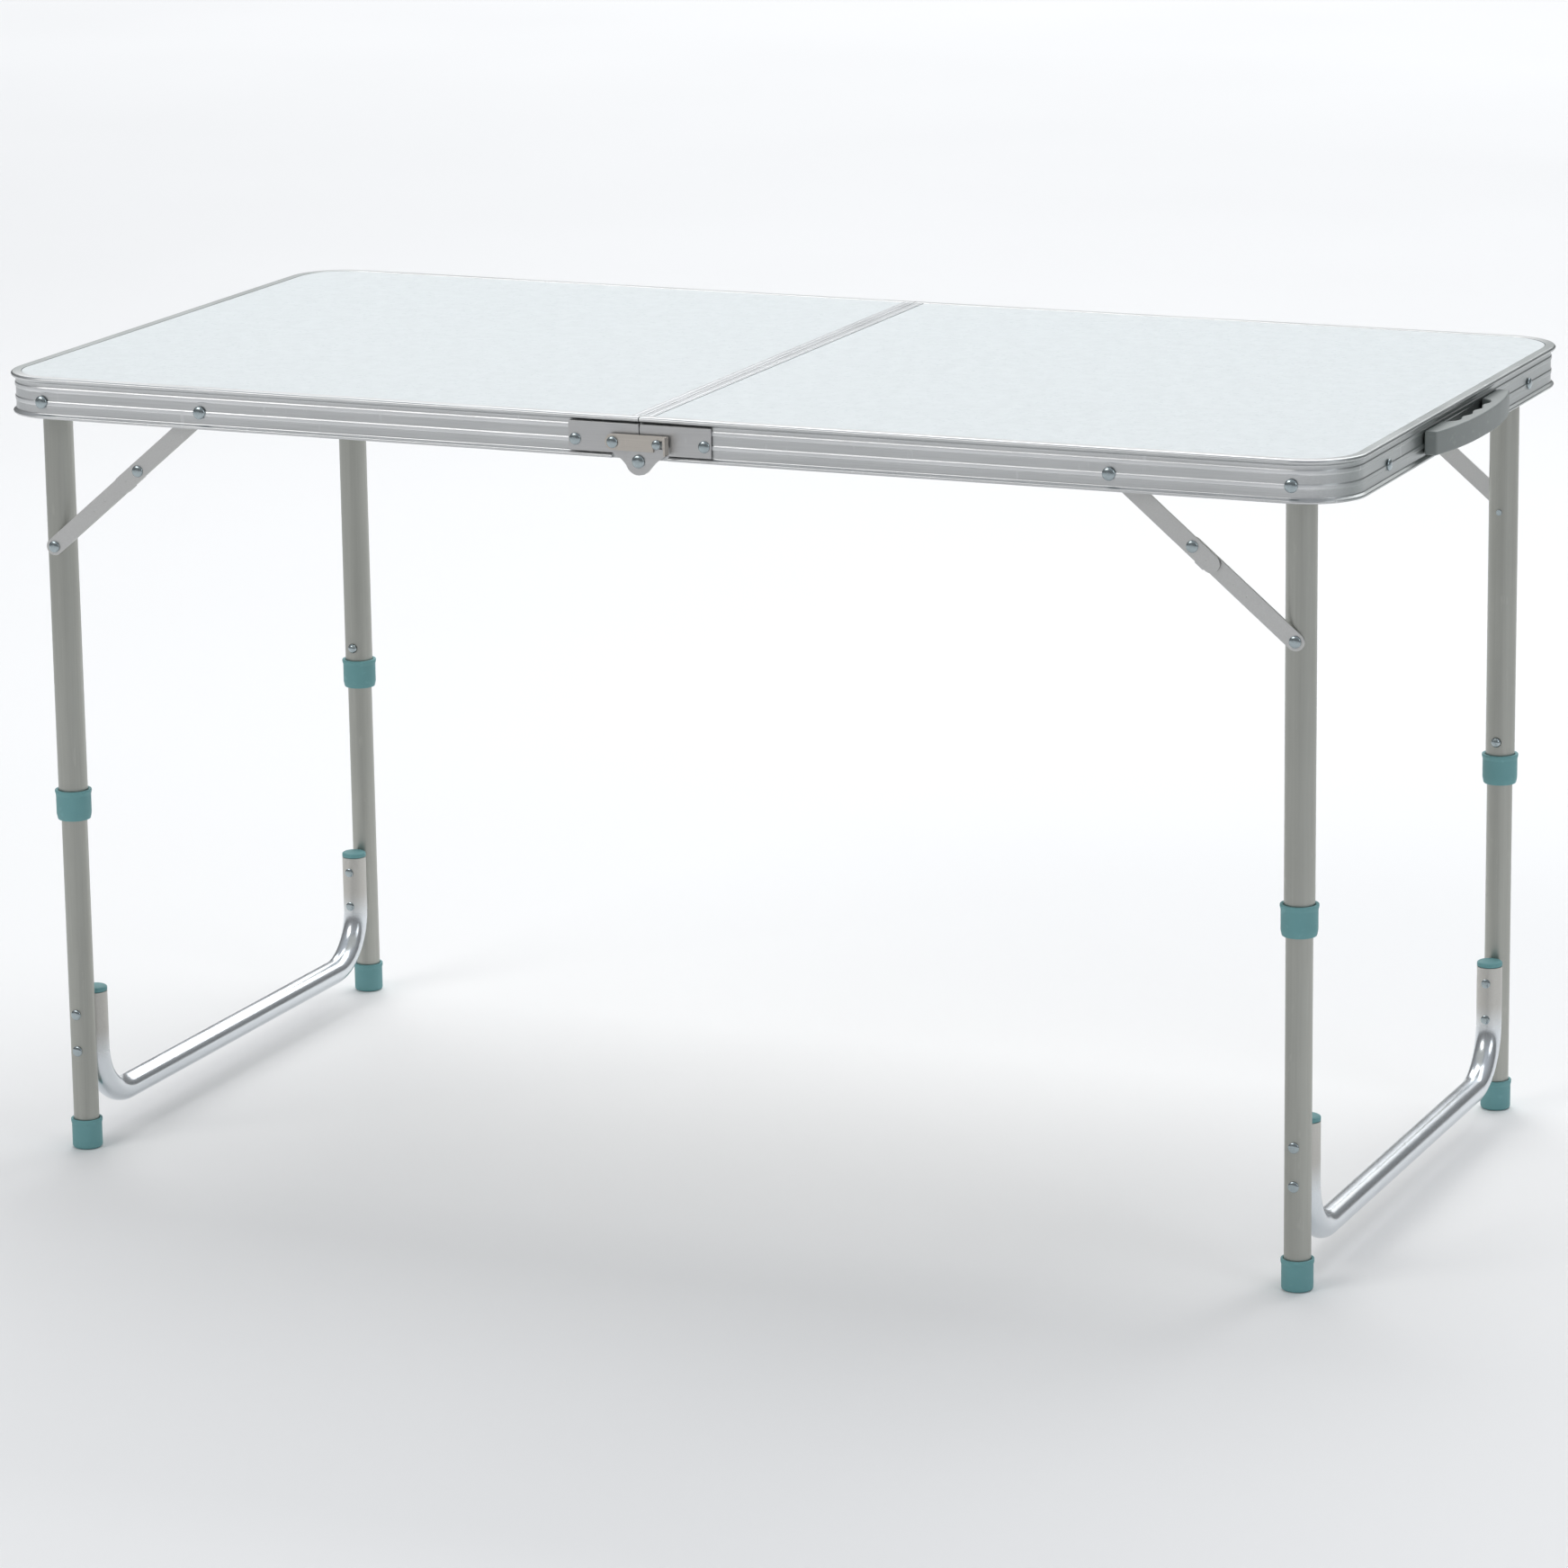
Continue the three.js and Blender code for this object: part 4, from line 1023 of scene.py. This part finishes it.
def softbox(name, place, aim, size, power, tint=(1, 1, 1)):
    """A rectangular lamp at a place, turned towards its aim."""
    data = bpy.data.lights.new(name, "AREA")
    data.shape = "RECTANGLE"
    data.size, data.size_y = size
    data.energy = power
    data.color = tint
    light = bpy.data.objects.new(name, data)
    bpy.context.scene.collection.objects.link(light)
    light.location = place
    light.rotation_euler = (Vector(aim) - Vector(place)).to_track_quat("-Z", "Y").to_euler()


def surroundings():
    """A pale studio: bright overhead and dimmer near the horizon, for the metal to mirror."""
    world = bpy.data.worlds.new("studio")
    bpy.context.scene.world = world
    world.use_nodes = True
    nodes, links = world.node_tree.nodes, world.node_tree.links
    place = nodes.new("ShaderNodeTexCoord")
    height = nodes.new("ShaderNodeSeparateXYZ")
    ramp = nodes.new("ShaderNodeValToRGB")
    ramp.color_ramp.elements.new(0.5)
    for point, (position, colour) in zip(ramp.color_ramp.elements, SKY):
        point.position = position
        point.color = (*colour, 1)
    links.new(place.outputs["Generated"], height.inputs["Vector"])
    links.new(height.outputs["Z"], ramp.inputs["Fac"])
    links.new(ramp.outputs["Color"], nodes["Background"].inputs["Color"])
    nodes["Background"].inputs["Strength"].default_value = SKY_STRENGTH


def camera():
    """Looks at the table from the front right, a little from above, through a long lens."""
    level = Vector((math.cos(CAMERA_YAW), -math.sin(CAMERA_YAW), 0))
    heading = Vector((math.sin(CAMERA_YAW), math.cos(CAMERA_YAW), 0))
    ahead = heading * math.cos(CAMERA_PITCH) - Vector((0, 0, math.sin(CAMERA_PITCH)))
    upright = level.cross(ahead)
    right = math.cos(CAMERA_ROLL) * level + math.sin(CAMERA_ROLL) * upright
    up = math.cos(CAMERA_ROLL) * upright - math.sin(CAMERA_ROLL) * level
    data = bpy.data.cameras.new("camera")
    data.lens = CAMERA_LENS
    data.sensor_width = 36
    data.clip_end = 100
    made = bpy.data.objects.new("camera", data)
    bpy.context.scene.collection.objects.link(made)
    turned = Matrix((right, up, -ahead)).transposed().to_4x4()
    made.matrix_world = Matrix.Translation(CAMERA_PLACE) @ turned
    bpy.context.scene.camera = made


floor()
surroundings()
softbox("key", (-3.0, -4.5, 4.2), (0, 0, 0.4), (3.0, 2.4), 78, (1, 0.985, 0.96))
softbox("fill", (4.5, -2.0, 2.4), (0, 0, 0.4), (1.8, 2.0), 24, (0.94, 0.97, 1))
softbox("overhead", (0, 1.8, 4.2), (0, 0, 0.6), (4.5, 3.0), 95)
softbox("backdrop", (-2.5, 9, 6.5), (-2.5, 6.5, 0), (14, 5), 560)
camera()
bpy.context.scene.view_settings.view_transform = "Standard"
